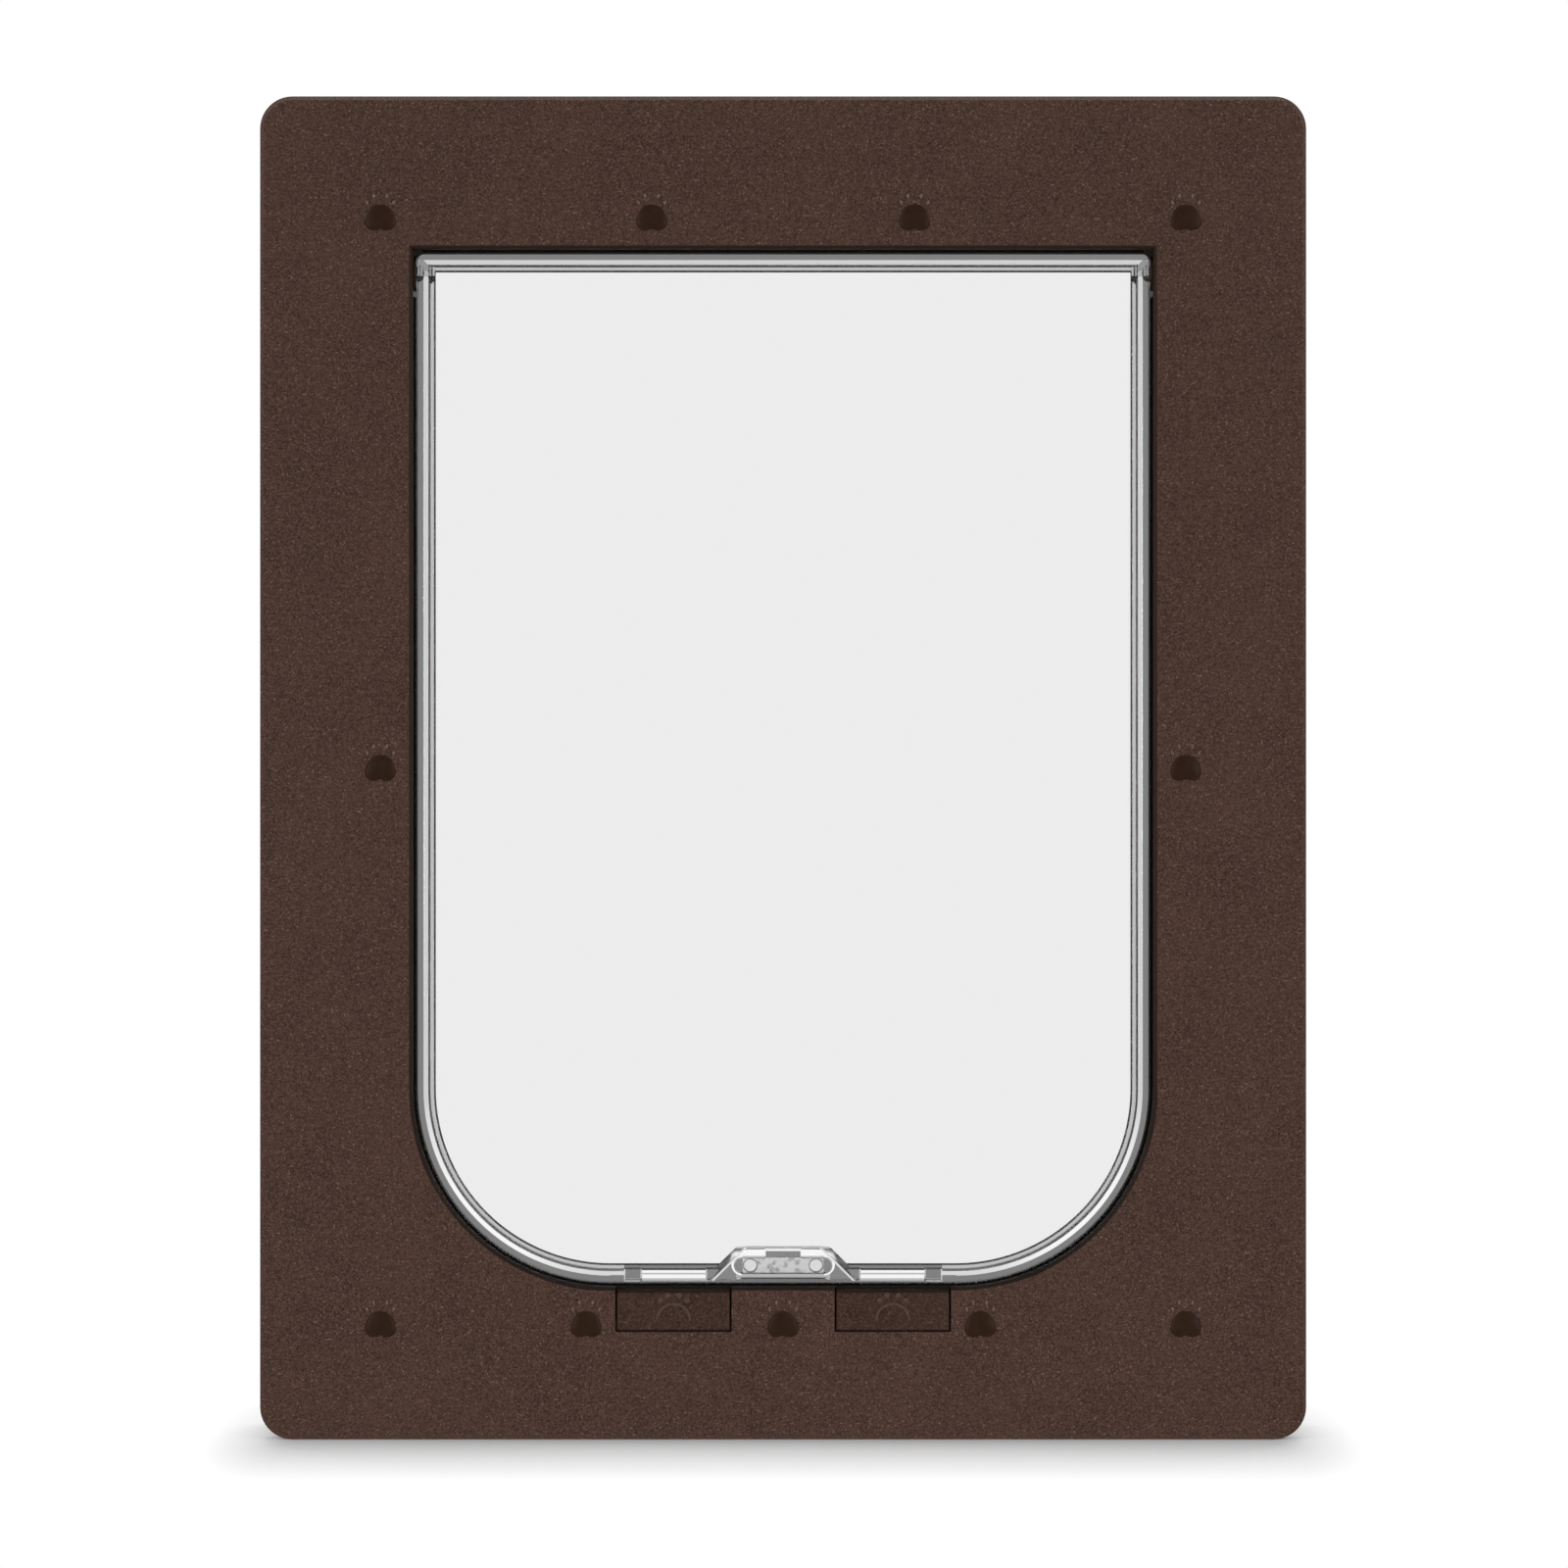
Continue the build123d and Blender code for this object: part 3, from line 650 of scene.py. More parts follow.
HUB_BARREL = 3.3
AXLE_CHAMFER = 0.4
HUB_STOPS = (
    (HUB_LENGTH, HUB_BARREL), (4.9, HUB_BARREL), (4.7, HUB_RADIUS), (3.8, HUB_RADIUS), (3.6, HUB_BARREL),
    (2.0, HUB_BARREL), (1.8, HUB_RADIUS), (0.7, HUB_RADIUS), (0.4, HUB_BARREL), (0.02, HUB_BARREL - 0.3))
AXLE_STOPS = (
    (2.0, AXLE_RADIUS), (AXLE_CHAMFER - AXLE_LENGTH, AXLE_RADIUS), (-AXLE_LENGTH, AXLE_RADIUS - AXLE_CHAMFER))


def drum(side, stops):
    """Round boss along X on the flap's pivot line."""
    return ring_mesh([
        [(side * (FLAP_HALF - inset), y, z) for y, z in circle((FLAP_Y, PIVOT_Z), radius, 48)]
        for inset, radius in stops])


# Flap: magnet housing, with its relief, pocket and tab slot

HOUSING_ROUND = 2.6
HOUSING_LIFT = 0.25
HOUSING_TOE = 0.05
RELIEF_SHARE = 0.75
POCKET_CHAMFER = 0.5
TAB_SLOT = 1.5
# Front rings: depth, then how far the slants, the top and the underside are moved in
HOUSING_RINGS = [
    (0.0, HOUSING_BEVEL + 0.25, 0.55, 0.3),
    (0.15, HOUSING_BEVEL + 0.1, 0.2, 0.1),
    (0.5, HOUSING_BEVEL - 0.4, 0.0, 0.0),
    (HOUSING_BEVEL, 0.1, 0.0, 0.0),
    (HOUSING_BEVEL + 0.3, 0.0, 0.0, 0.0),
]


def housing_ring(y, slant, top, low):
    """Outline of the housing at depth y, with its slants, top and underside moved in."""
    run, rise = (HOUSING_BASE - HOUSING_TOP) / 2, HOUSING_HEIGHT - HOUSING_FOOT
    length = math.hypot(run, rise)
    across, up = rise / length, run / length
    reach = across * HOUSING_TOP / 2 + up * HOUSING_HEIGHT - slant
    floor, ceiling = HOUSING_LIFT + low, HOUSING_HEIGHT - top
    corner = (reach - up * ceiling) / across
    turn = math.degrees(math.atan2(up, across))
    ease = HOUSING_ROUND * math.tan(math.radians(90 - turn) / 2)
    foot = min(HOUSING_BASE / 2, (reach - up * (floor + HOUSING_TOE)) / across)
    right = [
        (HOUSING_RELIEF_WIDTH / 2, HOUSING_RELIEF + low),
        (HOUSING_RELIEF_WIDTH / 2 + HOUSING_RELIEF_RUN * RELIEF_SHARE, floor),
        (foot, floor),
        (foot, (reach - across * foot) / up),
        *arc((corner - ease, ceiling - HOUSING_ROUND), HOUSING_ROUND, turn, 90, 6),
    ]
    outline = right + [(-x, z) for x, z in reversed(right)]
    return [(x, FLAP_Y + y, FLAP_BOTTOM + z) for x, z in outline]


front_rings = [(depth - HOUSING_THICKNESS / 2, *rest) for depth, *rest in HOUSING_RINGS]
back_rings = [(-y, *rest) for y, *rest in reversed(front_rings)]
housing_mesh = ring_mesh([housing_ring(*ring) for ring in front_rings + back_rings])
relief_half = HOUSING_RELIEF_WIDTH / 2
relief_end = relief_half + HOUSING_RELIEF_RUN
relief_outline = [
    (-relief_end, FLAP_BOTTOM - 1), (-relief_end, FLAP_BOTTOM), (-relief_half, FLAP_BOTTOM + HOUSING_RELIEF),
    (relief_half, FLAP_BOTTOM + HOUSING_RELIEF), (relief_end, FLAP_BOTTOM), (relief_end, FLAP_BOTTOM - 1)]
pocket_rings = []
for depth, cut in ((0.0, 2 * POCKET_CHAMFER), (POCKET_CHAMFER, 0.0), (2 * HOUSING_THICKNESS, 0.0)):
    outline = slot_outline(POCKET_LENGTH - cut, POCKET_HEIGHT - cut, POCKET_Z)
    pocket_rings.append([(x, POCKET_FRONT + depth, z) for x, z in outline])
tab_top = POCKET_Z + POCKET_HEIGHT / 2 + TAB_SLOT * TAB_HEIGHT
flap_mesh = combine(flap_form(), [
    ("UNION", housing_mesh),
    ("DIFFERENCE", plate(relief_outline, FLAP_Y - HOUSING_THICKNESS, 2 * HOUSING_THICKNESS)),
    ("DIFFERENCE", ring_mesh(pocket_rings)),
    ("DIFFERENCE", plate(rectangle(TAB_WIDTH, POCKET_Z, tab_top), POCKET_FRONT, 2 * HOUSING_THICKNESS)),
    *[("UNION", drum(side, stops)) for side in (-1, 1) for stops in (HUB_STOPS, AXLE_STOPS)],
])
FLAP_FINISHES = (
    flap_plastic, rim_plastic, rim_line, rim_bend, rim_shade_grey, rim_shade_step,
    housing_plastic, housing_back_shade, painted_edge_highlight)
flap_piece = piece("clear_flap", flap_mesh, "flap", "clear_plastic", *FLAP_FINISHES)


# Flap: finishes by place, with bands of painted shade and painted highlight on the rim and housing

SLACK = 0.1
SLANT_SLACK = 0.2
SLANT_LINE = 0.45
END_GAP = 0.5
SIDEWAYS = 0.2
BACKWARDS = 0.3
DOWNWARDS = -0.4
FLAT = 0.995


def flap_inset(x, z):
    """Distance of a point from the flap's edge."""
    bend_x, bend_z = FLAP_HALF - FLAP_RADIUS, FLAP_BOTTOM + FLAP_RADIUS
    if abs(x) > bend_x and z < bend_z:
        return FLAP_RADIUS - math.hypot(abs(x) - bend_x, z - bend_z)
    return min(FLAP_HALF - abs(x), z - FLAP_BOTTOM, FLAP_TOP - z)


def housing_finish(x, y, normal):
    """Finish of the magnet housing: white painted highlights on the front edges, a tint of painted shade on
    the back.
    """
    if abs(x) > BAR_LENGTH / 2 + END_GAP and HAIR < y - POCKET_FRONT < POCKET_CHAMFER - HAIR:
        return painted_edge_highlight
    if y < FLAP_Y and abs(normal.x) > SIDEWAYS:
        return painted_edge_highlight if y < FLAP_Y - HOUSING_THICKNESS / 2 + SLANT_LINE else rim_bend
    return housing_back_shade if normal.y > BACKWARDS and y > FLAP_Y + PANEL else housing_plastic


def lock_finish(off_lock, inset):
    """Finish over a lock slide: painted highlight bands in the recess, grey blocks of painted shade with white
    painted-highlight ends beside it.
    """
    past_end = min(abs(off_lock - RECESS_HALF), abs(off_lock - RECESS_HALF - STOP_WIDTH))
    if past_end < STATION_GAP / 2 and RIM_FOOT < inset < BEAD_WIDTH:
        return painted_edge_highlight
    if inset > BEAD_WIDTH:
        return rim_shade_grey
    if off_lock < RECESS_HALF:
        on_line = inset < RIM_FOOT or RECESS_LINE[0] < inset < RECESS_LINE[1]
        return rim_shade_step if on_line else rim_plastic
    return rim_shade_step if inset < RIM_FOOT else rim_shade_grey


def flap_finish(polygon):
    """Finish of one face of the flap: the panel, the rim's bands of painted shade and painted highlight, or
    the magnet housing.
    """
    corners = [flap_mesh.vertices[i].co / MM for i in polygon.vertices]
    if all(abs(abs(v.y - FLAP_Y) - PANEL) < HAIR for v in corners):
        return flap_plastic
    x, y, z = polygon.center / MM
    inset = flap_inset(x, z)
    slant = abs(x) - HOUSING_TOP / 2 + z - FLAP_BOTTOM - HOUSING_HEIGHT
    if inset < HOUSING_HEIGHT + SLACK and slant < SLANT_SLACK and z < SILL + 2 * HOUSING_HEIGHT:
        return housing_finish(x, y, polygon.normal)
    # Pivot hubs: grey tints on the barrel and collars paint their shade
    if abs(x) > FLAP_HALF - HUB_LENGTH and abs(z - PIVOT_Z) < HUB_RADIUS:
        if polygon.normal.z < DOWNWARDS:
            return rim_bend
        return rim_line if math.hypot(y - FLAP_Y, z - PIVOT_Z) < HUB_BARREL + SLACK else rim_shade_step
    if y > FLAP_Y:
        return rim_plastic
    off_lock = abs(abs(x) - LOCK_X)
    if z < FLAP_BOTTOM + STEP_WIDTH and off_lock < RECESS_HALF + STOP_WIDTH + STATION_GAP:
        return lock_finish(off_lock, inset)
    if inset > BEAD_WIDTH:
        return rim_shade_step
    if inset > CREST[1]:
        return rim_bend
    return rim_line if inset > CREST[0] else rim_shade_grey


for polygon in flap_mesh.polygons:
    finish = flap_finish(polygon)
    polygon.material_index = FLAP_FINISHES.index(finish)
    if finish == flap_plastic or abs(polygon.normal.y) > FLAT:
        polygon.use_smooth = False
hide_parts("flap")


# Magnet bar: rounded edges and two round holes with a chamfer, where the clear pegs' ends sit

BAR_SEAT = 0.06
BAR_TRIM = 0.1
BAR_EDGE = 0.2
HOLE_CHAMFER = 0.35
HOLE_LEAD = 0.3
HOLE_WALL = 0.9
BAR_HOLE_STOPS = (
    (-HOLE_LEAD, BAR_HOLE_RADIUS + HOLE_CHAMFER + (HOLE_LEAD + BAR_SEAT)),
    (BAR_SEAT + HOLE_CHAMFER, BAR_HOLE_RADIUS),
    (BAR_THICKNESS + 1, BAR_HOLE_RADIUS),
)
bar_holes = []
for side in (-1, 1):
    bar_holes.append(("DIFFERENCE", ring_mesh([
        [(x, POCKET_FRONT + depth, z) for x, z in circle((side * BAR_HOLE_X, POCKET_Z), radius, 36)]
        for depth, radius in BAR_HOLE_STOPS])))
bar_outline = rectangle(BAR_LENGTH, POCKET_Z - BAR_HEIGHT / 2, POCKET_Z + BAR_HEIGHT / 2)
bar_blank = plate(bar_outline, POCKET_FRONT + BAR_SEAT, BAR_THICKNESS - BAR_TRIM, BAR_EDGE, 2)
bar_mesh = combine(bar_blank, bar_holes)
bar_piece = piece("bar_magnet", bar_mesh, "flap", "magnet_metal", magnet_metal, hole_ring_shade)
# Hole chamfers take the darker metal: a painted shade ring round each hole
for polygon in bar_mesh.polygons:
    x, y, z = polygon.center / MM
    off_hole = math.hypot(abs(x) - BAR_HOLE_X, z - POCKET_Z)
    if off_hole < BAR_HOLE_RADIUS + HOLE_CHAMFER and abs(polygon.normal.y) < HOLE_WALL:
        polygon.material_index = 1
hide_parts("magnet_bar")


# Screw caps: one domed paw pad over each screw, with its plug; dome, lobes and notch differ from the solid's

PAD_DOME = 4.9
PAD_LOBE = 2.9
PAD_NOTCH = (3.0, 0.75)
PAD_STEPS = ((1.0, 0.0), (1.0, 0.2), (0.93, 0.5), (0.82, 0.64), (0.6, 0.79), (0.35, 0.87), (0.1, PAD_RISE))
PLUG_ROOT = 0.2


def hull(points):
    """Outline round a set of points, anticlockwise."""
    points = sorted(set(points))
    halves = []
    for run in (points, points[::-1]):
        chain = []
        for p in run:
            while len(chain) > 1:
                (ax, ay), (bx, by) = chain[-2], chain[-1]
                if (bx - ax) * (p[1] - ay) - (by - ay) * (p[0] - ax) > 1e-9:
                    break
                chain.pop()
            chain.append(p)
        halves.append(chain[:-1])
    return halves[0] + halves[1]


def pad_outline():
    """A dome over two lobes, both rounder than the solid's, with a soft notch in the lower edge."""
    lobe = (PAD_WIDTH / 2 - PAD_LOBE, PAD_LOBE - PAD_HEIGHT / 2)
    around = arc((0, PAD_HEIGHT / 2 - PAD_DOME), PAD_DOME, 0, 180, 36)
    around += circle(lobe, PAD_LOBE, 36)
    around += circle((-lobe[0], lobe[1]), PAD_LOBE, 36)
    outline = hull([(round(x, 5), round(z, 5)) for x, z in around])
    low = -PAD_HEIGHT / 2
    width, depth = PAD_NOTCH
    start = max(range(len(outline)), key=lambda i: (outline[i][1] < low + 1e-3, -outline[i][0]))
    outline = outline[start:] + outline[:start]
    notch = [
        (width * (t - 0.5), low + depth * math.sin(math.pi * t) ** 2)
        for t in (0.1, 0.25, 0.375, 0.5, 0.625, 0.75, 0.9)]
    return outline[:1] + notch + outline[1:]


pad_work = bmesh.new()
pad_edge = pad_outline()
for px, pz in SCREW_PLACES:
    skin(pad_work, [[(px + x * s, FACE_Y - rise, pz + z * s) for x, z in pad_edge] for s, rise in PAD_STEPS])
    plug_ring = circle((px, pz), PLUG_RADIUS, 48)
    skin(pad_work, [[(x, FACE_Y + y, z) for x, z in plug_ring] for y in (-PLUG_ROOT, PLUG_LENGTH)])
caps = piece("paw_caps", to_mesh(pad_work, FINE_WELD), "frame", "cap_plastic", cap_plastic, sharp=40)
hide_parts("screw_caps")


# Frame screws: a pan head, a short plain shank, a thread and a blunt tip

SCREW_ANGLES = range(0, 360, 30)
SCREW_ROOT = 1.55
SCREW_PITCH = 1.4
THREAD_RINGS = 6
THREAD_HALF = 0.4
THREAD_FLANK = 0.3
THREAD_START = SCREW_SEAT + 6.0
THREAD_END = SCREW_TIP - 0.9
HEAD_STOPS = ((0.0, 2.0), (0.15, 2.7), (0.6, 3.3), (1.3, SCREW_HEAD_RADIUS))
SHANK_STOPS = (
    (SCREW_SEAT, SCREW_HEAD_RADIUS), (SCREW_SEAT, SCREW_RADIUS), (THREAD_START - 0.8, SCREW_RADIUS),
    (THREAD_START - 0.3, SCREW_ROOT))
TIP_STOPS = ((THREAD_END + 0.2, SCREW_ROOT), (SCREW_TIP, 0.9))


def thread_radius(y, angle):
    """Radius of the thread at a place along the screw and round it."""
    turn = (y - THREAD_START) / SCREW_PITCH - angle / 360
    off_crest = abs(turn - round(turn))
    share = min(max((THREAD_HALF - off_crest) / THREAD_FLANK, 0.0), 1.0)
    return SCREW_ROOT + (SCREW_RADIUS - SCREW_ROOT) * share


def screw_rings():
    """Rings (y, radius for each angle) of one screw from its head to its tip."""
    stops = [(SCREW_SEAT - SCREW_HEAD + depth, radius) for depth, radius in HEAD_STOPS]
    rings = [(y, [radius] * len(SCREW_ANGLES)) for y, radius in (*stops, *SHANK_STOPS)]
    gap = SCREW_PITCH / THREAD_RINGS
    for i in range(int((THREAD_END - THREAD_START) / gap)):
        y = THREAD_START + i * gap
        rings.append((y, [thread_radius(y, angle) for angle in SCREW_ANGLES]))
    return rings + [(y, [radius] * len(SCREW_ANGLES)) for y, radius in TIP_STOPS]


screw_work = bmesh.new()
for px, pz in SCREW_PLACES:
    rings = []
    for y, radii in screw_rings():
        ring = []
        for angle, radius in zip(SCREW_ANGLES, radii):
            a = math.radians(angle)
            ring.append((px + radius * math.cos(a), y, pz + radius * math.sin(a)))
        rings.append(ring)
    skin(screw_work, rings)
screws = piece(
    "threaded_screws", to_mesh(screw_work, FINE_WELD), "frame", "screw_steel", screw_steel, sharp=50)
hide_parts("frame_screws")


# Toe marks: four small raised drops over each pad, as (x, z, lean in degrees) from the screw, in a plastic
# lighter than the frame's as a painted highlight

TOE_PLACES = ((-4.55, 5.0, 18), (-2.25, 7.2, 6), (2.25, 7.2, -6), (4.55, 5.0, -18))
TOE_WIDTH = 1.1
TOE_HEIGHT = 2.0
TOE_STEPS = ((1.0, -0.15), (1.0, 0.08), (0.93, 0.28), (0.74, 0.47), (0.42, 0.58), (0.12, 0.62))
toe_work = bmesh.new()
for px, pz in SCREW_PLACES:
    for tx, tz, lean in TOE_PLACES:
        turn = math.radians(lean)
        rings = []
        for size, rise in TOE_STEPS:
            ring = []
            for x, z in circle((0, 0), 1.0, 18):
                x, z = x * size * TOE_WIDTH / 2, z * size * TOE_HEIGHT / 2
                ring.append((
                    px + tx + x * math.cos(turn) - z * math.sin(turn),
                    FACE_Y - rise,
                    pz + tz + x * math.sin(turn) + z * math.cos(turn)))
            rings.append(ring)
        skin(toe_work, rings)
piece("toe_marks", to_mesh(toe_work, FINE_WELD), "frame", "frame_plastic", toe_highlight_plastic, sharp=70)


# Raised paw on each lock slide: a half-round bead with four toes over it, in a lighter plastic that paints its
# highlight

MARK_RADIUS = 5.6
MARK_WIDTH = 1.1
MARK_RISE = 0.36
MARK_Z = 40.5
MARK_RINGS = 24
MARK_THIN = 0.6
MARK_TOE = 0.95
MARK_TOES = ((-4.5, 3.2), (-1.9, 4.9), (1.9, 4.9), (4.5, 3.2))
MARK_TOE_STEPS = ((1.0, -0.1), (1.0, 0.08), (0.9, 0.22), (0.6, 0.32), (0.15, MARK_RISE))


def slide_mark(name, middle_x, body):
    """Raised paw mark on a lock slide's face."""
    work = bmesh.new()
    rings = []
    for i in range(MARK_RINGS + 1):
        a = math.radians(180 * i / MARK_RINGS)
        thin = MARK_THIN + (1 - MARK_THIN) * math.sin(a) ** 0.5
        ring = []
        for u, rise in circle((0, 0), 1.0, 12):
            reach = MARK_RADIUS + u * MARK_WIDTH / 2 * thin
            ring.append((
                middle_x + reach * math.cos(a),
                FACE_Y - rise * MARK_RISE * thin,
                MARK_Z + reach * math.sin(a)))
        rings.append(ring)
    skin(work, rings)
    for tx, tz in MARK_TOES:
        skin(work, [
            [(middle_x + tx + x * size, FACE_Y - rise, SLIDE_MIDDLE + tz + z * size)
             for x, z in circle((0, 0), MARK_TOE, 18)]
            for size, rise in MARK_TOE_STEPS])
    return piece(name, to_mesh(work, FINE_WELD), body, "slide_plastic", mark_highlight_plastic, sharp=70)


slide_mark("paw_mark_left", -LOCK_X, "lock_left")
slide_mark("paw_mark_right", LOCK_X, "lock_right")


# Pile seal: a backing strip with short fibres

PILE_BACKING = 0.35
PILE_ROOT = 0.2
PILE_HALF = 0.09
PILE_SPACING = 0.42
PILE_ROWS = 9
PILE_MARGIN = 0.25
PILE_LEAN = 0.12
PILE_SHORTEST = 0.82
SEAL_STEP = 3


def pile_strip(name, path, depth, node_name):
    """Pile along a path of ((x, z), inward direction) places, with fibres that reach the strip's depth."""
    shuffle = random.Random(7)
    work = bmesh.new()
    half = PILE_HALF
    front, back = FLAP_Y - SEAL_WIDTH / 2, FLAP_Y + SEAL_WIDTH / 2
    rings = []
    for (x, z), (nx, nz) in path:
        inner_x, inner_z = x + nx * PILE_BACKING, z + nz * PILE_BACKING
        rings.append([(x, front, z), (inner_x, front, inner_z), (inner_x, back, inner_z), (x, back, z)])
    skin(work, rings)
    for ((ax, az), (anx, anz)), ((bx, bz), (bnx, bnz)) in zip(path, path[1:]):
        run = math.hypot(bx - ax, bz - az)
        for i in range(int(run / PILE_SPACING)):
            for row in range(PILE_ROWS):
                t = (i + shuffle.random()) * PILE_SPACING / run
                share = (row + shuffle.uniform(0.2, 0.8)) / PILE_ROWS
                y = front + PILE_MARGIN + (SEAL_WIDTH - 2 * PILE_MARGIN) * share
                nx, nz = anx + (bnx - anx) * t, anz + (bnz - anz) * t
                x, z = ax + (bx - ax) * t + nx * PILE_ROOT, az + (bz - az) * t + nz * PILE_ROOT
                tall = (depth - PILE_ROOT) * shuffle.uniform(PILE_SHORTEST, 1.0)
                tip = (x + nx * tall, y + shuffle.uniform(-PILE_LEAN, PILE_LEAN), z + nz * tall)
                foot = [(x - nz * half, y, z + nx * half), (x + nz * half, y, z - nx * half), (x, y + half, z)]
                a, b, c, top = [work.verts.new(spot) for spot in (*foot, tip)]
                for corners in ((a, c, b), (a, b, top), (b, c, top), (c, a, top)):
                    work.faces.new(corners)
    strip = piece(name, to_mesh(work, weld=0), "frame", "pile", pile)
    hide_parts(node_name)


seal_half = OPENING_WIDTH / 2 - SEAL_BOND
seal_radius = OPENING_RADIUS - SEAL_BOND
bend_x = OPENING_WIDTH / 2 - OPENING_RADIUS
bend_z = SILL + OPENING_RADIUS
seal_path = [((-seal_half, SEAL_TOP), (1.0, 0.0))]
for centre_x, start in ((-bend_x, 180), (bend_x, 270)):
    for angle in range(start, start + 91, SEAL_STEP):
        a = math.radians(angle)
        out_x, out_z = math.cos(a), math.sin(a)
        seal_path.append(((centre_x + seal_radius * out_x, bend_z + seal_radius * out_z), (-out_x, -out_z)))
seal_path.append(((seal_half, SEAL_TOP), (-1.0, 0.0)))
pile_strip("pile_lower", seal_path, SEAL_DEPTH, "seal_lower")
top_path = [((x, ROOF - SEAL_BOND), (0.0, -1.0)) for x in (SEAL_TOP_HALF, -SEAL_TOP_HALF)]
pile_strip("pile_upper", top_path, SEAL_TOP_DEPTH, "seal_upper")


# Floor and world

WHITE = (1.0, 1.0, 1.0, 1.0)
FLOOR_RADIUS = 0.75
FLOOR_GREY = 0.69
FLOOR_FILL = 0.7
SHADOW_HALF = (0.166, 0.03, 0.0)
SHADOW_STRETCH = (5.0, 1.0, 1.0)
SHADOW_REACH = 0.145
WORLD_LIGHT = 0.45


def studio_floor():
    """Pale floor that keeps the object's shadow near it and is plain white further off."""
    mesh = bpy.data.meshes.new("floor")
    rim = [(x, y, 0.0) for x, y in circle((0, 0), FLOOR_RADIUS, 72)]
    mesh.from_pydata(rim, [], [tuple(range(len(rim)))])
    floor = bpy.data.objects.new("floor", mesh)
    bpy.context.scene.collection.objects.link(floor)
    made = bpy.data.materials.new("studio_floor")
    made.use_nodes = True
    tree = made.node_tree
    tree.nodes.remove(tree.nodes["Principled BSDF"])
    place = tree.nodes.new("ShaderNodeTexCoord").outputs["Object"]
    over = calc(tree, "ABSOLUTE", place, vector=True)
    over = calc(tree, "SUBTRACT", over, SHADOW_HALF, vector=True)
    over = calc(tree, "MAXIMUM", over, grey(0.0), vector=True)
    over = calc(tree, "MULTIPLY", over, SHADOW_STRETCH, vector=True)
    far = calc(tree, "LENGTH", over, vector=True)
    path = tree.nodes.new("ShaderNodeLightPath").outputs
    seen = calc(tree, "MAXIMUM", path["Is Camera Ray"], path["Is Transmission Ray"])
    seen = calc(tree, "MAXIMUM", seen, path["Is Glossy Ray"])
    share = calc(tree, "MULTIPLY", seen, grey_ramp(tree, far, 0.0, 0.0, SHADOW_REACH, 1.0))
    matt = node(tree, "ShaderNodeBsdfDiffuse", Color=(*grey(FLOOR_GREY), 1.0)).outputs[0]
    glow = node(tree, "ShaderNodeEmission", Color=WHITE, Strength=1.0).outputs[0]
    fill = node(tree, "ShaderNodeEmission", Color=WHITE, Strength=FLOOR_FILL).outputs[0]
    surface = mix_shader(tree, path["Is Diffuse Ray"], mix_shader(tree, share, matt, glow), fill)
    tree.links.new(surface, tree.nodes["Material Output"].inputs["Surface"])
    mesh.materials.append(made)
    floor.visible_glossy = False


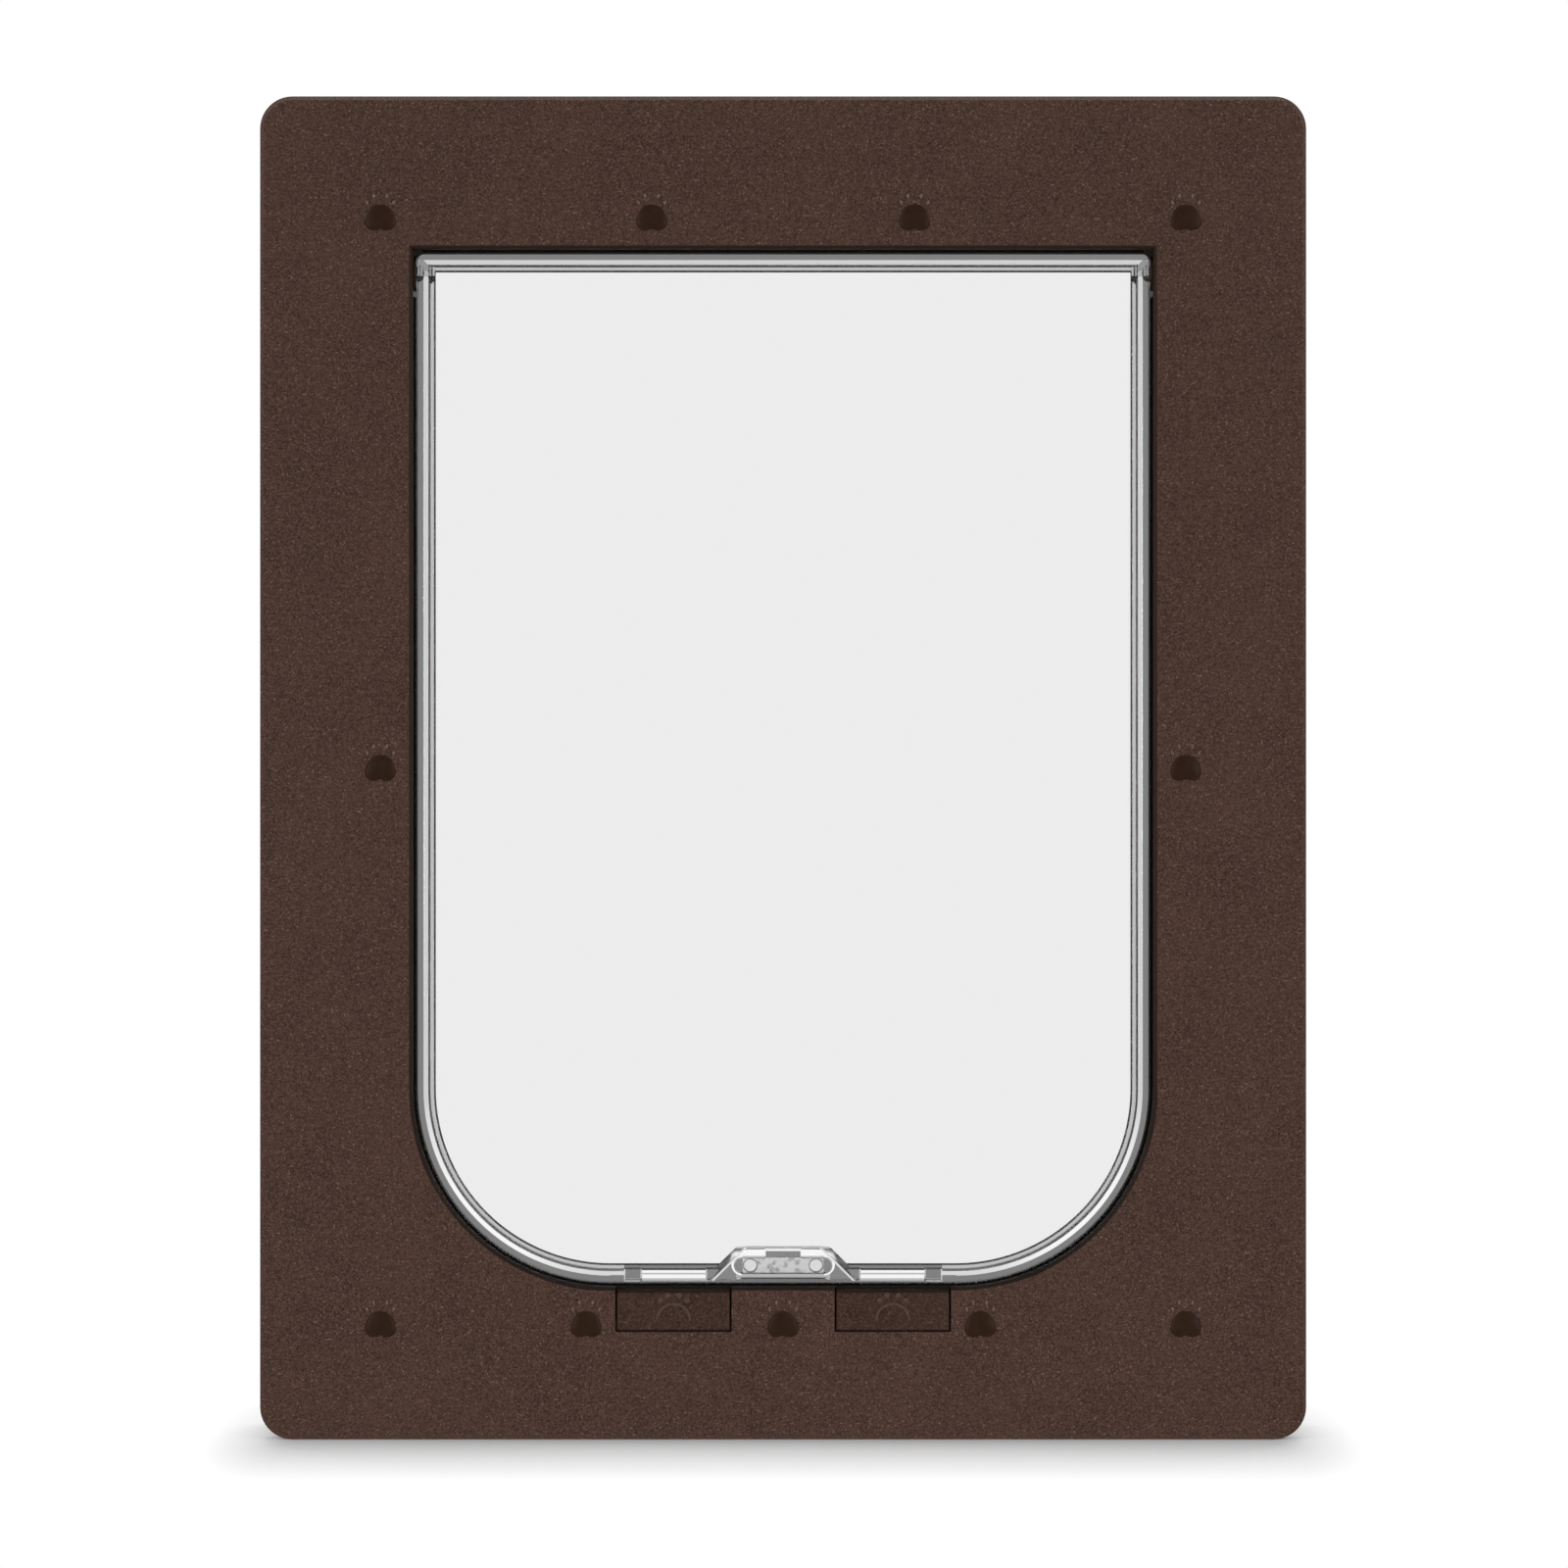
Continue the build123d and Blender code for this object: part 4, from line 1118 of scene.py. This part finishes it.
def studio_world():
    """White all round to the eye and through clear plastic; the room side of the studio is dim."""
    world = bpy.data.worlds.new("studio")
    bpy.context.scene.world = world
    world.use_nodes = True
    tree = world.node_tree
    path = tree.nodes.new("ShaderNodeLightPath").outputs
    way = tree.nodes.new("ShaderNodeTexCoord").outputs["Generated"]
    depth = calc(tree, "ABSOLUTE", axes(tree, way)["Y"])
    mirror = grey_ramp(tree, depth, 0.5, 0.4, 0.9, 0.06)
    through = grey_ramp(tree, depth, 0.1, 0.3, 0.5, 1.0)
    soft = tree.nodes["Background"]
    soft.inputs["Color"].default_value = WHITE
    soft.inputs["Strength"].default_value = WORLD_LIGHT
    plain = node(tree, "ShaderNodeBackground", Color=WHITE, Strength=1.0)
    glossy = node(tree, "ShaderNodeBackground", [("Color", mirror)], Strength=1.0)
    clear = node(tree, "ShaderNodeBackground", [("Color", through)], Strength=1.0)
    mix = soft.outputs[0]
    for ray, shade in (("Is Glossy Ray", glossy), ("Is Transmission Ray", clear), ("Is Camera Ray", plain)):
        mix = mix_shader(tree, path[ray], mix, shade.outputs[0])
    tree.links.new(mix, tree.nodes["World Output"].inputs["Surface"])


# Lights and camera

MIDDLE = (0.0, 0.0, 0.23)
FRONT_POWER = 10.2
SIDE_POWER = 4.0
TOP_POWER = 20.0
REAR_POWER = 9.0
CAMERA_DISTANCE = 2.5
CAMERA_X = 0.0003
CAMERA_Z = 0.223
VIEW_WIDTH = 0.5333


def soft_light(name, place, aim, size, power):
    """Rectangular soft light at a place, turned towards a point; metres and watts."""
    lamp = bpy.data.lights.new(name, "AREA")
    lamp.shape = "RECTANGLE"
    lamp.size, lamp.size_y = size
    lamp.energy = power
    made = bpy.data.objects.new(name, lamp)
    bpy.context.scene.collection.objects.link(made)
    made.visible_transmission = False
    made.location = place
    made.rotation_euler = (Vector(aim) - Vector(place)).to_track_quat("-Z", "Y").to_euler()


studio_floor()
studio_world()
soft_light("front_left_light", (-1.45, -2.2, 0.35), MIDDLE, (0.25, 0.9), FRONT_POWER)
soft_light("front_right_light", (1.45, -2.2, 0.35), MIDDLE, (0.25, 0.9), FRONT_POWER)
soft_light("side_left_light", (-1.15, -0.14, 1.0), MIDDLE, (0.6, 0.6), SIDE_POWER)
soft_light("side_right_light", (1.15, -0.14, 1.0), MIDDLE, (0.6, 0.6), SIDE_POWER)
soft_light("top_light", (0.0, 0.95, 1.75), MIDDLE, (1.4, 0.5), TOP_POWER)
soft_light("rear_light", (0.3, 1.7, 0.9), MIDDLE, (1.6, 0.8), REAR_POWER)

camera = bpy.data.cameras.new("photo_camera")
camera.sensor_width = 36.0
camera.lens = camera.sensor_width * CAMERA_DISTANCE / VIEW_WIDTH
camera_piece = bpy.data.objects.new("photo_camera", camera)
bpy.context.scene.collection.objects.link(camera_piece)
camera_piece.location = (CAMERA_X, FACE_Y * MM - CAMERA_DISTANCE, CAMERA_Z)
camera_piece.rotation_euler = (math.pi / 2, 0.0, 0.0)
bpy.context.scene.camera = camera_piece
bpy.context.scene.view_settings.view_transform = "Standard"

bpy.context.view_layer.update()
